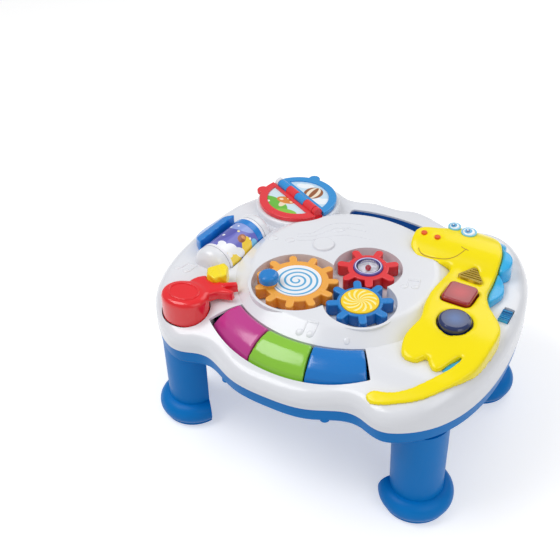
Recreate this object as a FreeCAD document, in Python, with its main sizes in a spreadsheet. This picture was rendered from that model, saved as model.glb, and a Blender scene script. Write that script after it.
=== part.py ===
import FreeCAD, Part
import Sketcher
import math
import os
import re

# A child's musical activity table: a white deck on a blue base with four
# plug-in legs, three meshing gears, three keys, a dinosaur with two light
# buttons, a flip book, a picture drum and a bird button.
# Frame: X right seen from the keys, keys at -Y, handle at +Y, floor at Z 0.

os.makedirs("parts", exist_ok=True)
sums = FreeCAD.newDocument("Reckoning").addObject("Spreadsheet::Sheet", "Sums")
doc = FreeCAD.newDocument("ActivityTable")

# Driving sizes in millimetres

SIZES = [
    ("leg_height", 113),          # floor to the underside of the base
    ("base_depth", 18),           # blue band below the seam
    ("skirt_height", 34),         # seam to the deck at the rim
    ("plateau_rise", 13),         # gear plateau above the deck
    ("front_drop", 16),           # deck lower along the front edge
    ("back_drop", 7),             # deck lower along the handle
    ("wall", 3),
    ("edge_round", 14),           # soft edge round the deck
    ("slope_round", 60),          # soft bend where the deck starts to fall
    ("half_width", 190),
    ("side_y", -5),
    ("back_reach", 164),
    ("front_reach", 168),
    ("handle_side_x", 42),
    ("handle_side_y", 160),
    ("handle_root_x", 68),
    ("handle_root_y", 153),
    ("lobe_inner_x", 94),
    ("lobe_inner_y", 163),
    ("lobe_outer_x", 124),
    ("lobe_outer_y", 161.5),
    ("back_corner_x", 150),
    ("back_corner_y", 140),
    ("back_side_x", 177),
    ("back_side_y", 85),
    ("front_side_x", 185),
    ("front_side_y", -66),
    ("front_corner_x", 162),
    ("front_corner_y", -122),
    ("front_lobe_x", 135),
    ("front_lobe_y", -147),
    ("lobe_end_x", 112),
    ("lobe_end_y", -154.5),
    ("notch_x", 88),
    ("notch_y", -148),
    ("front_side_half", 46),
    ("front_side_reach", 162),
    ("grip_depth", 28),           # handle bar, front to back
    ("opening_half", 50),         # hand opening, half its length at the deck
    ("opening_flare", 7),
    ("opening_front", 101),
    ("opening_round", 6),
    ("leg_x", 137),
    ("leg_front_y", -104),
    ("leg_back_y", 82),
    ("leg_radius", 27.5),
    ("leg_flat", 13),             # flat inner side, from the leg's axis
    ("leg_wall", 2.6),
    ("plug_radius", 22),
    ("plug_length", 24),
    ("plug_gap", 0.3),
    ("seat_gap", 0.05),           # between two mouldings that sit face to face
    ("foot_ring", 26.5),
    ("foot_roll", 12.2),
    ("foot_pad", 34),
    ("plateau_radius", 98),
    ("plateau_foot", 122),
    ("plateau_fall", 16),
    ("gear_thick", 13),
    ("gear_stand", 1),            # gear tops above the plateau
    ("well_clear", 1.5),          # gears above the floor of the well
    ("gear_centre_x", -32),
    ("gear_centre_y", -49),
    ("mesh_blue", 0.8),           # direction from the orange to the blue gear
    ("mesh_red", 107.8),          # direction from the blue to the red gear
    ("orange_tooth", -5.5),       # direction of one orange tooth at rest
    ("tooth_module", 7.7),
    ("tooth_width", 8.6),
    ("orange_tip", 44),
    ("orange_root", 34),
    ("blue_tip", 34.5),
    ("blue_root", 23.6),
    ("red_tip", 33.4),
    ("red_root", 22),
    ("well_gap", 3.5),            # gear tips to the wall of the well
    ("post_radius", 4),
    ("running_gap", 0.08),
    ("end_gap", 0.3),
    ("hub_radius", 9),
    ("head_pocket", 7.5),
    ("disc_thick", 1.6),
    ("spiral_radius", 26),
    ("swirl_radius", 19.5),
    ("rattle_radius", 15.5),
    ("crank_radius", 29),
    ("crank_angle", 220),
    ("crank_boss", 8),
    ("crank_boss_height", 4),
    ("knob_radius", 10.5),
    ("knob_height", 9.5),
    ("key_centre_y", 10),
    ("key_inner", 127.5),
    ("key_outer", 162),
    ("key_span", 22.4),           # degrees from key to key
    ("key_gap", 1.2),
    ("key_crown", 2.5),           # key above the deck at its back edge
    ("key_skirt", 25),
    ("key_hinge_in", 8),          # pivot behind the key's back edge
    ("key_hinge_drop", 15),
    ("pin_radius", 1.6),
    ("flip_x", -110),
    ("flip_y", 90),
    ("flip_radius", 46),
    ("flip_angle", -27),          # hinge line of the flip book
    ("flip_leaf", 5.5),
    ("flip_rise", 9.5),           # pedestal above the deck
    ("flip_rim", 9.5),
    ("knuckle", 5.5),
    ("drum_inset", 56),           # drum axis in from the side of the table
    ("drum_y", -14.5),
    ("drum_angle", 4.3),
    ("drum_radius", 21.5),
    ("drum_length", 64),
    ("drum_sink", 1.5),
    ("bird_x", -122),
    ("bird_y", -122),
    ("bird_long", 26),
    ("bird_wide", 21),
    ("bird_height", 16),
    ("bird_depth", 21),           # floor of the bird's well below the deck
    ("bird_travel", 3),
    ("button_travel", 2.5),
    ("dino_chest", 13),           # relief heights above the deck
    ("dino_head", 25),
    ("square_button", 31),
    ("round_button", 16.5),
    ("grille_thick", 2),
    ("switch_inset", 16),         # power switch in from the side
    ("switch_y", 18),
    ("slot_width", 11),
    ("slot_length", 25),
    ("switch_travel", 7),
    ("hang_slot", 28),           # hanging slots in the base
]

sheet = doc.addObject("Spreadsheet::Sheet", "Sizes")
for row, (alias, amount) in enumerate(SIZES, start=1):
    sheet.set("A%d" % row, alias)
    sheet.set("B%d" % row, str(amount))
    sheet.setAlias("B%d" % row, alias)
doc.recompute()

NAMES = {alias for alias, amount in SIZES}
WORD = re.compile(r"[a-z_]+[a-z_0-9]*")

# Heights that several pieces share, as sums of the driving sizes
UNDER = "leg_height"
SEAM = "(leg_height + base_depth)"
DECK = "(leg_height + base_depth + skirt_height)"
PLATEAU = "(leg_height + base_depth + skirt_height + plateau_rise)"


def linked(text):
    """The expression with every size name pointed at the sheet."""
    return WORD.sub(lambda m: "Sizes." + m.group(0) if m.group(0) in NAMES else m.group(0), text)


def number(text):
    """The present value of an expression in size names."""
    plain = WORD.sub(lambda m: str(sheet.get(m.group(0))) if m.group(0) in NAMES else m.group(0), text)
    sums.set("A1", "=" + plain)
    sums.recompute()
    return float(sums.get("A1"))


def vector(x, y, z=0.0):
    return FreeCAD.Vector(x, y, z)


def bind(item, **properties):
    for name, text in properties.items():
        item.setExpression(name, linked(text))


def place(item, x="0", y="0", z="0", angle="0", axis=(0, 0, 1)):
    """Put an object at a bound position, turned by a bound angle about an axis."""
    turn = FreeCAD.Rotation(vector(*axis), number(angle))
    item.Placement = FreeCAD.Placement(vector(number(x), number(y), number(z)), turn)
    for part, text in (("x", x), ("y", y), ("z", z)):
        item.setExpression(".Placement.Base." + part, linked(text))
    if angle != "0":
        item.setExpression(".Placement.Rotation.Angle", linked(angle))
    return item


# Part primitives and booleans with bound sizes

def cylinder(name, radius, height, **where):
    item = doc.addObject("Part::Cylinder", name)
    bind(item, Radius=radius, Height=height)
    return place(item, **where)


def block(name, length, width, height, **where):
    item = doc.addObject("Part::Box", name)
    bind(item, Length=length, Width=width, Height=height)
    return place(item, **where)


def cone(name, low, high, height, **where):
    item = doc.addObject("Part::Cone", name)
    bind(item, Radius1=low, Radius2=high, Height=height)
    return place(item, **where)


def fused(name, pieces):
    item = doc.addObject("Part::MultiFuse", name)
    item.Shapes = pieces
    return item


def cut(name, base, tool):
    item = doc.addObject("Part::Cut", name)
    item.Base = base
    item.Tool = tool
    return item


def group(name, pieces):
    """Separate solids that share one node."""
    item = doc.addObject("Part::Compound", name)
    item.Links = pieces
    return item


def shaped(name, shape):
    """A piece whose shape comes from Part's own functions."""
    item = doc.addObject("Part::Feature", name)
    item.Shape = shape
    return item


# PartDesign bodies with sketches bound to the sheet

def body(name):
    return doc.addObject("PartDesign::Body", name)


def sketch(owner, role, name):
    item = owner.newObject("Sketcher::SketchObject", name)
    origin = [plane for plane in owner.Origin.OriginFeatures if plane.Role == role]
    item.AttachmentSupport = (origin[0], [""])
    item.MapMode = "FlatFace"
    return item


def polygon(item, corners):
    """A closed outline whose corners are each held by two bound distances."""
    points = [vector(number(x), number(y)) for x, y in corners]
    first = item.GeometryCount
    count = len(points)
    for index in range(count):
        item.addGeometry(Part.LineSegment(points[index], points[(index + 1) % count]), False)
    for index in range(count):
        following = first + (index + 1) % count
        item.addConstraint(Sketcher.Constraint("Coincident", first + index, 2, following, 1))
    for index, (x, y) in enumerate(corners):
        point = points[index]
        for kind, text, axis, amount in (("DistanceX", x, -2, point.x), ("DistanceY", y, -1, point.y)):
            if text == "0":
                item.addConstraint(Sketcher.Constraint("PointOnObject", first + index, 1, axis))
            else:
                held = Sketcher.Constraint(kind, -1, 1, first + index, 1, amount)
                spot = item.addConstraint(held)
                item.setExpression("Constraints[%d]" % spot, linked(text))


def ring(item, radius, x="0", y="0"):
    """A circle with a bound radius and centre."""
    centre = vector(number(x), number(y))
    spot = item.addGeometry(Part.Circle(centre, vector(0, 0, 1), number(radius)), False)
    held = item.addConstraint(Sketcher.Constraint("Radius", spot, number(radius)))
    item.setExpression("Constraints[%d]" % held, linked(radius))
    for kind, text, axis, amount in (("DistanceX", x, -2, centre.x), ("DistanceY", y, -1, centre.y)):
        if text == "0":
            item.addConstraint(Sketcher.Constraint("PointOnObject", spot, 3, axis))
        else:
            held = item.addConstraint(Sketcher.Constraint(kind, -1, 1, spot, 3, amount))
            item.setExpression("Constraints[%d]" % held, linked(text))


def turned(name, corners, sweep="360", **where):
    """A body turned about its own upright axis from a radius and height outline."""
    owner = body(name)
    profile = sketch(owner, "XZ_Plane", name + "_profile")
    polygon(profile, corners)
    spin = owner.newObject("PartDesign::Revolution", name + "_turn")
    spin.Profile = profile
    spin.ReferenceAxis = (profile, ["V_Axis"])
    spin.Angle = number(sweep)
    if sweep != "360":
        bind(spin, Angle=sweep)
        spin.Midplane = True
    place(owner, **where)
    return owner


def padded(name, height, corners=None, circles=(), **where):
    """A body pushed up from an outline and circles drawn on its own XY plane."""
    owner = body(name)
    profile = sketch(owner, "XY_Plane", name + "_outline")
    if corners:
        polygon(profile, corners)
    for circle in circles:
        ring(profile, *circle)
    pad = owner.newObject("PartDesign::Pad", name + "_pad")
    pad.Profile = profile
    bind(pad, Length=height)
    place(owner, **where)
    return owner


def pocketed(owner, name, depth=None, corners=None, circles=()):
    """Cut an outline down through the body, or up from its XY plane to a depth."""
    profile = sketch(owner, "XY_Plane", name + "_outline")
    if corners:
        polygon(profile, corners)
    for circle in circles:
        ring(profile, *circle)
    pocket = owner.newObject("PartDesign::Pocket", name)
    pocket.Profile = profile
    if depth is None:
        pocket.Type = "ThroughAll"
        pocket.Midplane = True
    else:
        bind(pocket, Length=depth)
        pocket.Reversed = True
    return pocket


def raised(owner, feature, height):
    """Lift a feature's sketch above its plane by a bound height."""
    profile = feature.Profile[0]
    profile.AttachmentOffset = FreeCAD.Placement(vector(0, 0, number(height)), FreeCAD.Rotation())
    profile.setExpression(".AttachmentOffset.Base.z", linked(height))
    return feature


def widened(owner, name, height, corners=None, circles=()):
    """Add an outline pushed up by a height to a body."""
    profile = sketch(owner, "XY_Plane", name + "_outline")
    if corners:
        polygon(profile, corners)
    for circle in circles:
        ring(profile, *circle)
    pad = owner.newObject("PartDesign::Pad", name)
    pad.Profile = profile
    bind(pad, Length=height)
    return pad


def softened(owner, name, radius, chosen):
    """Round the edges of the body's last feature that pass the test."""
    doc.recompute()
    tip = owner.Tip
    names = ["Edge%d" % (spot + 1) for spot, edge in enumerate(tip.Shape.Edges) if chosen(edge)]
    fillet = owner.newObject("PartDesign::Fillet", name)
    fillet.Base = (tip, names)
    fillet.Refine = False
    bind(fillet, Radius=radius)
    return fillet


def topmost(owner):
    """A test for edges that lie flat in the highest plane of a body."""
    doc.recompute()
    high = owner.Tip.Shape.BoundBox.ZMax
    return lambda edge: edge.BoundBox.ZMin > high - 0.01


# The table's outline and crowned deck

def outline_curve():
    """A smooth closed line through the corners of the tabletop."""
    corners = [
        ("0", "back_reach"),
        ("handle_side_x", "handle_side_y"),
        ("handle_root_x", "handle_root_y"),
        ("lobe_inner_x", "lobe_inner_y"),
        ("lobe_outer_x", "lobe_outer_y"),
        ("back_corner_x", "back_corner_y"),
        ("back_side_x", "back_side_y"),
        ("half_width", "side_y"),
        ("front_side_x", "front_side_y"),
        ("front_corner_x", "front_corner_y"),
        ("front_lobe_x", "front_lobe_y"),
        ("lobe_end_x", "lobe_end_y"),
        ("notch_x", "notch_y"),
        ("front_side_half", "-front_side_reach"),
        ("0", "-front_reach"),
    ]
    right = [vector(number(x), number(y)) for x, y in corners]
    left = [vector(-point.x, point.y) for point in reversed(right[1:-1])]
    curve = Part.BSplineCurve()
    curve.interpolate(right + left, PeriodicFlag=True)
    return curve


OUTLINE = outline_curve()


def outline_wire(inset, height):
    """The tabletop outline, moved inwards by inset, at a height."""
    stations = 90
    span = OUTLINE.LastParameter - OUTLINE.FirstParameter
    points = []
    for index in range(stations):
        here = OUTLINE.FirstParameter + span * index / stations
        point = OUTLINE.value(here)
        along = OUTLINE.tangent(here)[0]
        points.append(vector(point.x - along.y * -inset, point.y + along.x * -inset, height))
    curve = Part.BSplineCurve()
    curve.interpolate(points, PeriodicFlag=True)
    return Part.Wire(curve.toShape())


def side_bar(stations, low, half):
    """A bar along X whose top follows the Y and height stations."""
    points = [vector(-half, y, z) for y, z in stations]
    points.append(vector(-half, stations[-1][0], low))
    points.append(vector(-half, stations[0][0], low))
    points.append(points[0])
    return Part.Face(Part.makePolygon(points)).extrude(vector(2 * half, 0, 0))


def crowned_block(inset, sunk):
    """The solid under the deck: outline prism, side slopes and soft edges."""
    deck = number(DECK) - sunk
    low = number(SEAM)
    prism = Part.Face(outline_wire(inset, low)).extrude(vector(0, 0, deck))
    reach = number("half_width") + 20
    stations = [
        (-reach, deck - number("front_drop")),
        (-150, deck - number("front_drop")),
        (-112, deck),
        (60, deck),
        (120, deck - number("back_drop")),
        (reach, deck - number("back_drop")),
    ]
    crown = prism.common(side_bar(stations, low - 10, reach))
    bends = [edge for edge in crown.Edges if lies_across(edge, low)]
    crown = crown.makeFillet(number("slope_round"), bends)
    rim = [edge for edge in crown.Edges if edge.BoundBox.ZMin > low + 1 and not lies_across(edge, low)]
    rim = [edge for edge in rim if near_outline(edge, inset)]
    return crown.makeFillet(number("edge_round") - inset, rim)


def lies_across(edge, low):
    """True for a straight crease that crosses the deck from side to side."""
    box = edge.BoundBox
    return box.YLength < 0.1 and box.ZLength < 0.1 and box.XLength > 50 and box.ZMin > low + 1


def near_outline(edge, inset):
    """True for an edge whose middle lies on the tabletop outline."""
    middle = edge.valueAt((edge.FirstParameter + edge.LastParameter) / 2)
    flat = Part.Vertex(vector(middle.x, middle.y))
    return abs(flat.distToShape(OUTLINE.toShape())[0] - inset) < 1.0


DECK_BLOCK = crowned_block(0, 0)
INNER_BLOCK = crowned_block(number("wall"), number("wall"))

# Where the turning and pressing pieces sit

BLUE_X = "(gear_centre_x + tooth_module * 9.5 * cos(mesh_blue))"
BLUE_Y = "(gear_centre_y + tooth_module * 9.5 * sin(mesh_blue))"
RED_X = "(gear_centre_x + tooth_module * (9.5 * cos(mesh_blue) + 7.5 * cos(mesh_red)))"
RED_Y = "(gear_centre_y + tooth_module * (9.5 * sin(mesh_blue) + 7.5 * sin(mesh_red)))"
GEAR_LOW = "(" + PLATEAU + " + gear_stand - gear_thick)"
WELL_FLOOR = "(" + GEAR_LOW + " - well_clear)"
GEARS = [
    ("orange_gear", 11, "gear_centre_x", "gear_centre_y", "orange_tip", "orange_root", "spiral_radius"),
    ("blue_gear", 8, BLUE_X, BLUE_Y, "blue_tip", "blue_root", "swirl_radius"),
    ("red_gear", 7, RED_X, RED_Y, "red_tip", "red_root", "rattle_radius"),
]
BLUE_TOOTH = "(mesh_blue + 180 - (orange_tooth - mesh_blue) * 11 / 8 + 22.5)"
RED_TOOTH = "(mesh_red + 180 - (" + BLUE_TOOTH + " - 90 - mesh_red) * 8 / 7 + 180 / 7)"
TEETH_AT = {"orange_gear": "orange_tooth", "blue_gear": BLUE_TOOTH, "red_gear": RED_TOOTH}
DRUM_X = "(drum_inset - half_width)"
DRUM_Z = "(" + DECK + " - drum_sink)"
SWITCH_X = "(half_width - switch_inset)"
LEGS = [
    ("leg_front_left", "-leg_x", "leg_front_y", "45"),
    ("leg_front_right", "leg_x", "leg_front_y", "135"),
    ("leg_back_left", "-leg_x", "leg_back_y", "-45"),
    ("leg_back_right", "leg_x", "leg_back_y", "225"),
]
KEYS = [("key_left", -1), ("key_middle", 0), ("key_right", 1)]
SCREW_SPOTS = [(-166, 40), (166, 40), (-84, 134), (84, 134), (-56, -150), (56, -150), (-74, 28), (74, 28)]
FLIP_AXIS = "(" + DECK + " + flip_rise + flip_leaf + end_gap + 0.2)"
BIRD_FLOOR = "(" + DECK + " - bird_depth)"
KEY_BOARD = "(" + DECK + " - 31)"
BOARD_TOP = "(" + DECK + " - 17.4)"
BOARD_SPOTS = [(104, -20), (104, 20), (160, -12)]
HEAD_SEAT = 3.8
SQUARE_AT = ("127", "6")
ROUND_AT = ("138", "-35.5")
GRILLE_AT = ("126", "45")


def spot(x, y, z=0.0):
    """A position vector from texts or numbers."""
    return vector(*[number(v) if isinstance(v, str) else v for v in (x, y, z)])


def post(radius, low, high, x, y):
    return Part.makeCylinder(radius, high - low, vector(x, y, low))


def sector(inner, outer, low, high, half_angle):
    """An upright wall round the key centre, open towards the front."""
    centre = vector(0, number("key_centre_y"), low)
    solid = Part.makeCylinder(outer, high - low, centre, vector(0, 0, 1), 2 * half_angle)
    solid = solid.cut(Part.makeCylinder(inner, high - low, centre))
    solid.rotate(centre, vector(0, 0, 1), -90 - half_angle)
    return solid


def oval_prism(long, wide, low, high, x, y):
    ellipse = Part.Ellipse(vector(x, y, low), long, wide)
    return Part.Face(Part.Wire(ellipse.toShape())).extrude(vector(0, 0, high - low))


def polygon_prism(corners, low, high):
    points = [vector(x, y, low) for x, y in corners]
    return Part.Face(Part.makePolygon(points + points[:1])).extrude(vector(0, 0, high - low))


def smooth_prism(corners, low, high):
    """A prism whose outline runs smoothly through its corners."""
    curve = Part.BSplineCurve()
    curve.interpolate([vector(x, y, low) for x, y in corners], PeriodicFlag=True)
    return Part.Face(Part.Wire(curve.toShape())).extrude(vector(0, 0, high - low))


def rounded_square(side, corner, low, high, x, y):
    solid = Part.makeBox(side, side, high - low, vector(x - side / 2, y - side / 2, low))
    upright = [edge for edge in solid.Edges if edge.BoundBox.ZLength > 0.9 * (high - low)]
    return solid.makeFillet(corner, upright)


def along_drum(radius, start, end):
    """A cylinder on the picture drum's axis between two distances from its middle."""
    angle = math.radians(number("drum_angle"))
    way = vector(math.sin(angle), math.cos(angle), 0)
    middle = spot(DRUM_X, "drum_y", DRUM_Z)
    return Part.makeCylinder(radius, end - start, middle + way * start, way)


def along_hinge(radius, start, end, height):
    """A cylinder on the flip book's hinge line between two distances from its middle."""
    angle = math.radians(number("flip_angle"))
    way = vector(math.cos(angle), math.sin(angle), 0)
    middle = spot("flip_x", "flip_y", height)
    return Part.makeCylinder(radius, end - start, middle + way * start, way)


def hand_opening(grow, low, high):
    """The prism of the opening in front of the handle, grown by a margin."""
    half = number("opening_half") + grow
    flare = number("opening_flare")
    front = number("opening_front") - grow
    back = number("back_reach") - number("grip_depth") + grow
    side_back = back - 9
    left, right = (vector(side * (half + flare), side_back, low) for side in (-1, 1))
    top = vector(0, back, low)
    arch = Part.Arc(left, top, right).toShape()
    foot_right, foot_left = vector(half, front, low), vector(-half, front, low)
    wire = Part.Wire([
        arch,
        Part.makeLine(right, foot_right),
        Part.makeLine(foot_right, foot_left),
        Part.makeLine(foot_left, left),
    ])
    solid = Part.Face(wire).extrude(vector(0, 0, high - low))
    upright = [edge for edge in solid.Edges if edge.BoundBox.ZLength > 0.9 * (high - low)]
    return solid.makeFillet(number("opening_round") + grow, upright)


def plateau_block(inset):
    """The round gear plateau with its sloping rim."""
    top = number(PLATEAU) - inset
    foot = top - number("plateau_fall")
    low = number(SEAM)
    radius = number("plateau_radius") - inset / 2
    wide = number("plateau_foot") - inset
    profile = Part.makePolygon([
        vector(0, 0, low),
        vector(wide, 0, low),
        vector(wide, 0, foot),
        vector(radius, 0, top),
        vector(0, 0, top),
        vector(0, 0, low),
    ])
    solid = Part.Face(profile).revolve(vector(0, 0, 0), vector(0, 0, 1), 360)
    brow = [edge for edge in solid.Edges
            if edge.BoundBox.ZMin > top - 0.01 and edge.BoundBox.XLength > radius]
    return solid.makeFillet(12, brow)


# White top shell: injection moulded in one piece with its wells, seats and posts

def make_top_shell():
    wall = number("wall")
    deck, seam, plateau = number(DECK), number(SEAM), number(PLATEAU)
    floor, gear_low = number(WELL_FLOOR), number(GEAR_LOW)
    cavity = INNER_BLOCK.fuse(plateau_block(wall))
    shell = DECK_BLOCK.fuse(plateau_block(0)).cut(cavity)
    added, hollows, posts, pilots = [], [], [], []

    # Gear wells with a screw post at each centre
    for name, teeth, x, y, tip, root, disc in GEARS:
        at = spot(x, y)
        radius = number(tip) + number("well_gap")
        added.append(post(radius + wall, floor - wall, plateau - 1, at.x, at.y))
        hollows.append(post(radius, floor, plateau + 10, at.x, at.y))
        posts.append(post(6, floor - 12, floor - 1, at.x, at.y))
        posts.append(post(7, floor - 1, gear_low - number("end_gap"), at.x, at.y))
        posts.append(post(number("post_radius"), floor - 1, gear_low + HEAD_SEAT, at.x, at.y))
        pilots.append(post(1.5, floor - 10, plateau, at.x, at.y))

    # Flip book pedestal with its two hinge lugs
    flip = spot("flip_x", "flip_y")
    seat = deck + number("flip_rise")
    broad = number("flip_radius") + 3.5
    pedestal = post(broad, seam + 20, seat, flip.x, flip.y)
    brow = [edge for edge in pedestal.Edges if edge.BoundBox.ZMin > seat - 0.01]
    added.append(pedestal.makeFillet(3, brow))
    added.append(post(broad + wall, seat - 8, plateau, flip.x, flip.y).common(plateau_block(0)))
    hollows.append(post(broad - wall, seam, seat - wall, flip.x, flip.y))
    niches = [post(broad, seat, plateau + 10, flip.x, flip.y)]
    lugs = []
    for side in (-1, 1):
        near, far = sorted((side * 36.6, side * 42))
        lugs.append(along_hinge(number("knuckle"), near, far, number(FLIP_AXIS)))
        lugs.append(along_hinge(number("knuckle"), near, far, seat))
    hollows.append(along_hinge(number("pin_radius"), -40, 40, number(FLIP_AXIS)))

    # Picture drum: a trough below the deck and a domed bearing cap at each end
    half = number("drum_length") / 2 + 1
    radius = number("drum_radius")
    added.append(along_drum(radius + 1.5 + wall, -half - 10, half + 10).common(cavity))
    for side in (-1, 1):
        near, far = sorted((side * half, side * (half + 15)))
        cap = along_drum(radius, near, far)
        added.append(cap.makeFillet(11, [edge for edge in cap.Edges if is_rim(edge, side)]))
        hollows.append(on_drum(Part.makeBox(27, 5, 30, vector(-13.5, side * 42 - 2.5, -22))))
    hollows.append(along_drum(radius + 1.5, -half, half))
    hollows.append(along_drum(2.5, -half - 6, half + 6))

    # Opening for the three keys, with two ears for each hinge pin
    hollows.append(sector(
        number("key_inner") - 1.2, number("key_outer") + 1.3, seam - 1, deck + 30, number("key_span") * 1.5 + 0.4))
    pivot = number("key_inner") - number("key_hinge_in")
    height = deck - number("key_hinge_drop")
    for name, place_on_arc in KEYS:
        for side in (-1, 1):
            ear = Part.makeBox(9, 3.5, 40, vector(pivot - 4.5, side * 10.5 - 1.75, height - 4))
            posts.append(on_key_arc(ear, place_on_arc).common(cavity))
        hole = Part.makeCylinder(number("pin_radius"), 30, vector(pivot, -15, height), vector(0, 1, 0))
        pilots.append(on_key_arc(hole, place_on_arc))

    # Bird well, button openings, speaker opening and the switch slot
    bird = spot("bird_x", "bird_y")
    long, wide = number("bird_long") + 1, number("bird_wide") + 1
    cup = oval_prism(long + wall, wide + wall, number(BIRD_FLOOR) - wall, deck, bird.x, bird.y)
    added.append(cup.common(INNER_BLOCK))
    hollows.append(oval_prism(long, wide, number(BIRD_FLOOR), deck + 20, bird.x, bird.y))
    hollows.append(Part.makeBox(2 * long + 2.6, 8, 5.3, vector(bird.x - long - 1.3, bird.y - 4, deck - 11.5)))
    square, circle, grille = spot(*SQUARE_AT), spot(*ROUND_AT), spot(*GRILLE_AT)
    hollows.append(rounded_square(number("square_button") + 1, 6, deck - 10, deck + 10, square.x, square.y))
    hollows.append(post(number("round_button") + 0.5, deck - 10, deck + 10, circle.x, circle.y))
    hollows.append(post(14, deck - 10, deck + 10, grille.x, grille.y))
    switch = spot(SWITCH_X, "switch_y")
    width, length = number("slot_width"), number("slot_length")
    corner = vector(switch.x - width / 2, switch.y - length / 2, deck - 10)
    hollows.append(Part.makeBox(width, length, 20, corner))

    # Hand opening, with a wall all round it down to the seam
    added.append(hand_opening(wall, seam, deck + 20).common(DECK_BLOCK))
    hollows.append(hand_opening(0, seam - 1, deck + 20))

    # Hanging posts for the circuit board and the switch, and a raised round button
    for x, y in BOARD_SPOTS:
        added.append(post(3.5, number(BOARD_TOP), deck, x, y).common(cavity))
        pilots.append(post(1.1, number(BOARD_TOP) - 1, number(BOARD_TOP) + 8, x, y))
    for side in (-1, 1):
        added.append(post(2.8, deck - 7.5, deck, switch.x, switch.y + side * 20.5).common(cavity))
    bump = post(12, plateau - 2, plateau + 3, -38, 21)
    added.append(bump.makeFillet(2, [edge for edge in bump.Edges if edge.BoundBox.ZMin > plateau + 2.9]))

    # Screw bosses that meet the base
    for x, y in SCREW_SPOTS:
        added.append(post(4.5, seam, deck + 20, x, y).common(cavity))
        pilots.append(post(1.4, seam - 1, seam + 15, x, y))

    shell = shell.fuse(added).cut(niches).fuse(lugs).cut(hollows).fuse(posts).cut(pilots)
    return shell.removeSplitter()


def on_key_arc(solid, place_on_arc):
    """Turn and move a solid drawn along X to one of the key places."""
    solid = solid.copy()
    solid.rotate(vector(0, 0, 0), vector(0, 0, 1), -90 + place_on_arc * number("key_span"))
    solid.translate(vector(0, number("key_centre_y"), 0))
    return solid


def on_drum(solid):
    """Turn and move a solid drawn along Y to the picture drum's place."""
    solid.rotate(vector(0, 0, 0), vector(0, 0, 1), -number("drum_angle"))
    solid.translate(spot(DRUM_X, "drum_y", DRUM_Z))
    return solid


def is_rim(edge, side):
    """True for the round edge at one end of a solid on the drum's axis."""
    if edge.Closed and edge.BoundBox.YLength < 12:
        return side * (edge.BoundBox.Center.y - number("drum_y")) > number("drum_length") / 2 + 10
    return False


# Blue base shell: a tray with leg sockets, screw columns and the battery box

def make_base_shell():
    wall = number("wall")
    under, seam = number(UNDER), number(SEAM) - number("seat_gap")
    rings = [outline_wire(5, under), outline_wire(2, under + 4), outline_wire(1, seam)]
    shell = Part.makeLoft(rings, True, True)
    inner = [
        outline_wire(5 + wall, under + wall), outline_wire(4.5, under + 4 + wall), outline_wire(1 + wall, seam)]
    shell = shell.cut(Part.makeLoft(inner, True, True))
    added, hollows = [], []
    gap = number("plug_gap")
    top = under + number("plug_length") + gap
    for name, x, y, angle in LEGS:
        at = spot(x, y)
        added.append(post(number("plug_radius") + gap + wall, under, top + wall, at.x, at.y))
        hollows.append(plug_solid(gap, under - 1, top, at, number(angle)))
    for x, y in SCREW_SPOTS:
        added.append(post(5, under, seam, x, y))
        hollows.append(post(1.7, under - 1, seam + 1, x, y))
        hollows.append(post(3.6, under - 1, under + 10, x, y))
    added.append(Part.makeBox(58, 66, seam - under + 4, vector(-29, -43, under)))
    added.append(Part.makeBox(70, 78, 5.5, vector(-35, -49, under)))
    hollows.append(Part.makeBox(52, 60, 20, vector(-26, -40, under - 1)))
    hollows.append(Part.makeBox(64, 72, 3.5, vector(-32, -46, under - 1)))
    hollows.append(post(1.4, under, under + 5.4, 0, 23))
    for turn in (-22, 22):
        angle = math.radians(-90 + turn)
        reach = 143
        x, y = reach * math.cos(angle), number("key_centre_y") + reach * math.sin(angle)
        added.append(post(3, under, number(KEY_BOARD), x, y))
    added.append(hand_opening(wall, under, seam).common(Part.makeLoft(rings, True, True)))
    hollows.append(hand_opening(0, under - 1, seam + 1))
    for side in (-1, 1):
        hollows.append(Part.makeBox(number("hang_slot"), 5, wall + 2, vector(side * 97 - 14, 146, under - 1)))
    return shell.fuse(added).cut(hollows).removeSplitter()


def plug_solid(grow, low, high, at, angle):
    """A leg's D-shaped plug, or with a gap the socket that takes it."""
    radius = number("plug_radius") + grow
    flat = number("leg_flat") - 2 + grow
    plug = post(radius, low, high, 0, 0)
    plug = plug.cut(Part.makeBox(60, 120, high - low, vector(flat, -60, low)))
    plug.rotate(vector(0, 0, 0), vector(0, 0, 1), angle)
    plug.translate(at)
    return plug


top_shell = shaped("top_shell", make_top_shell())
base_shell = shaped("base_shell", make_base_shell())


# Legs: blow moulded tubes with a rolled foot, a flat inner side and a plug

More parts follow.
